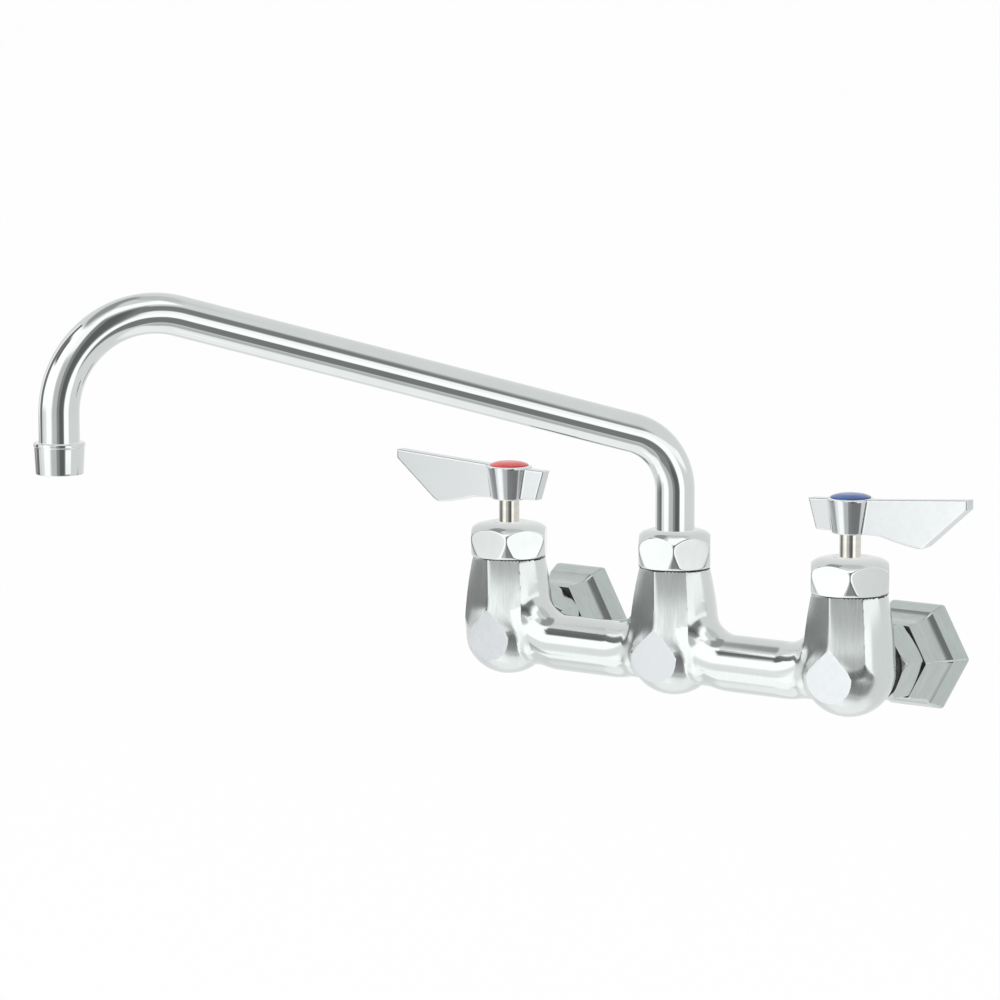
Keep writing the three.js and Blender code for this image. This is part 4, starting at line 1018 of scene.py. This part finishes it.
def build_tent():
    """A ball of panels about the faucet, 1 degree apart, with its brightness as an attribute."""
    azimuth = np.arange(-180, 180, 1.0)
    elevation = np.arange(-89.9, 90, 1.0)
    a, e = np.radians(azimuth)[None, :], np.radians(elevation)[:, None]
    points = np.stack([np.sin(a) * np.cos(e), -np.cos(a) * np.cos(e), np.sin(e) + 0 * a], -1)
    mesh = bpy.data.meshes.new("tent")
    faces = grid_faces(len(elevation), len(azimuth), False)
    mesh.from_pydata(points.reshape(-1, 3) * TENT_RADIUS + TENT_CENTRE, [], faces.tolist())
    glow = mesh.attributes.new("glow", "FLOAT", "POINT")
    glow.data.foreach_set("value", tent_glow(azimuth, elevation).astype(np.float32).ravel())
    return mesh


def build_flag():
    """An upright graded card close on the left: a grid between its two upright edges."""
    share = np.array(FLAG_COLUMNS)[:, None]
    foot = np.array(FLAG_NEAR_EDGE) * (1 - share) + np.array(FLAG_FAR_EDGE) * share
    points = np.zeros((len(FLAG_ROWS), len(FLAG_COLUMNS), 3))
    points[:, :, :2] = foot
    points[:, :, 2] = np.array(FLAG_ROWS)[:, None]
    row, column_index = np.mgrid[0:len(FLAG_ROWS) - 1, 0:len(FLAG_COLUMNS) - 1]
    corner = (row * len(FLAG_COLUMNS) + column_index).ravel()
    above = corner + len(FLAG_COLUMNS)
    faces = np.stack([corner, corner + 1, above + 1, above], 1)
    mesh = bpy.data.meshes.new("flag")
    mesh.from_pydata(points.reshape(-1, 3), [], faces.tolist())
    glow = mesh.attributes.new("glow", "FLOAT", "POINT")
    glow.data.foreach_set("value", np.array(FLAG_GLOW, np.float32).ravel())
    return mesh


def bare_tree(owner):
    """The node tree of a material or a world, emptied."""
    owner.use_nodes = True
    owner.node_tree.nodes.clear()
    return owner.node_tree


def tent_cloth():
    """Glows by the panels' attribute."""
    material = bpy.data.materials.new("tent_cloth")
    tree = bare_tree(material)
    glow = add_node(tree, "ShaderNodeAttribute", attribute_name="glow")
    light = add_node(tree, "ShaderNodeEmission", [("Strength", glow.outputs["Fac"])])
    light.inputs["Color"].default_value = (0.985, 1.0, 0.995, 1)
    add_node(tree, "ShaderNodeOutputMaterial", [("Surface", light.outputs[0])])
    material.cycles.emission_sampling = "NONE"
    return material


cloth = tent_cloth()
tent = bpy.data.objects.new("tent", build_tent())
flag = bpy.data.objects.new("flag", build_flag())
for screen in (tent, flag):
    screen.data.materials.append(cloth)
    bpy.context.scene.collection.objects.link(screen)
    for ray in ("camera", "diffuse", "transmission", "volume_scatter", "shadow"):
        setattr(screen, f"visible_{ray}", False)

# The pieces stand so close together that they would mirror each other instead of the tent, so
# reflections see past all but the bells and coupling nuts, which shade each other at the wall.
for item in bpy.context.scene.objects:
    if item.type == "MESH" and not item.name.endswith(("wall_bell", "coupling_ring", "tent", "flag")):
        item.visible_glossy = False

floor_mesh = bpy.data.meshes.new("floor")
floor_corners = [(x * FLOOR_HALF, y * FLOOR_HALF, FLOOR_HEIGHT)
                 for x, y in ((-1, -1), (1, -1), (1, 1), (-1, 1))]
floor_mesh.from_pydata(floor_corners, [], [(0, 1, 2, 3)])
floor = bpy.data.objects.new("floor", floor_mesh)
bpy.context.scene.collection.objects.link(floor)
floor.visible_glossy = False
floor_paint = bpy.data.materials.new("floor_paint")
tree = bare_tree(floor_paint)
matt = add_node(tree, "ShaderNodeBsdfDiffuse")
matt.inputs["Color"].default_value = (0.9, 0.9, 0.9, 1)
white = add_node(tree, "ShaderNodeEmission")
path = add_node(tree, "ShaderNodeLightPath")
amount = add_node(tree, "ShaderNodeMath", [(0, path.outputs["Is Camera Ray"])], operation="MULTIPLY")
amount.inputs[1].default_value = FLOOR_WHITENESS
mixed = add_node(tree, "ShaderNodeMixShader",
                 [(0, amount.outputs[0]), (1, matt.outputs[0]), (2, white.outputs[0])])
add_node(tree, "ShaderNodeOutputMaterial", [("Surface", mixed.outputs[0])])
floor_mesh.materials.append(floor_paint)

world = bpy.data.worlds.new("studio")
bpy.context.scene.world = world
tree = bare_tree(world)
path = add_node(tree, "ShaderNodeLightPath")
seen = path.outputs["Is Camera Ray"]
for ray in ("Is Glossy Ray", "Is Transmission Ray"):
    seen = add_node(tree, "ShaderNodeMath", [(0, seen), (1, path.outputs[ray])],
                    operation="MAXIMUM").outputs[0]
strength = spread(tree, seen, WORLD_LIGHT, WORLD_SEEN)
background = add_node(tree, "ShaderNodeBackground", [("Strength", strength)])
background.inputs["Color"].default_value = (1, 1, 1, 1)
add_node(tree, "ShaderNodeOutputWorld", [("Surface", background.outputs[0])])


def softbox(name, place, aim, size, power):
    """A square area lamp at a place, facing a point. Reflections don't see it."""
    data = bpy.data.lights.new(name, "AREA")
    data.size = size
    data.energy = power
    lamp = bpy.data.objects.new(name, data)
    bpy.context.scene.collection.objects.link(lamp)
    lamp.location = place
    away = np.array(place) - np.array(aim)
    lamp.rotation_euler = (math.atan2(math.hypot(away[0], away[1]), away[2]), 0,
                           math.atan2(away[0], -away[1]))
    lamp.visible_glossy = False
    return lamp


softbox("key_light", (-1.2, -1.8, 1.9), LAMP_AIM, 1.6, 32)
softbox("fill_light", (1.8, -1.2, 1.4), LAMP_AIM, 1.4, 14)

camera_data = bpy.data.cameras.new("camera")
camera_data.lens = CAMERA_LENS
camera_data.sensor_width = 36.0
camera = bpy.data.objects.new("camera", camera_data)
bpy.context.scene.collection.objects.link(camera)
camera.location = CAMERA_PLACE
camera.rotation_euler = (math.pi / 2 - CAMERA_LOOKS_DOWN, 0, CAMERA_TURN)
bpy.context.scene.camera = camera
bpy.context.scene.view_settings.view_transform = "Standard"
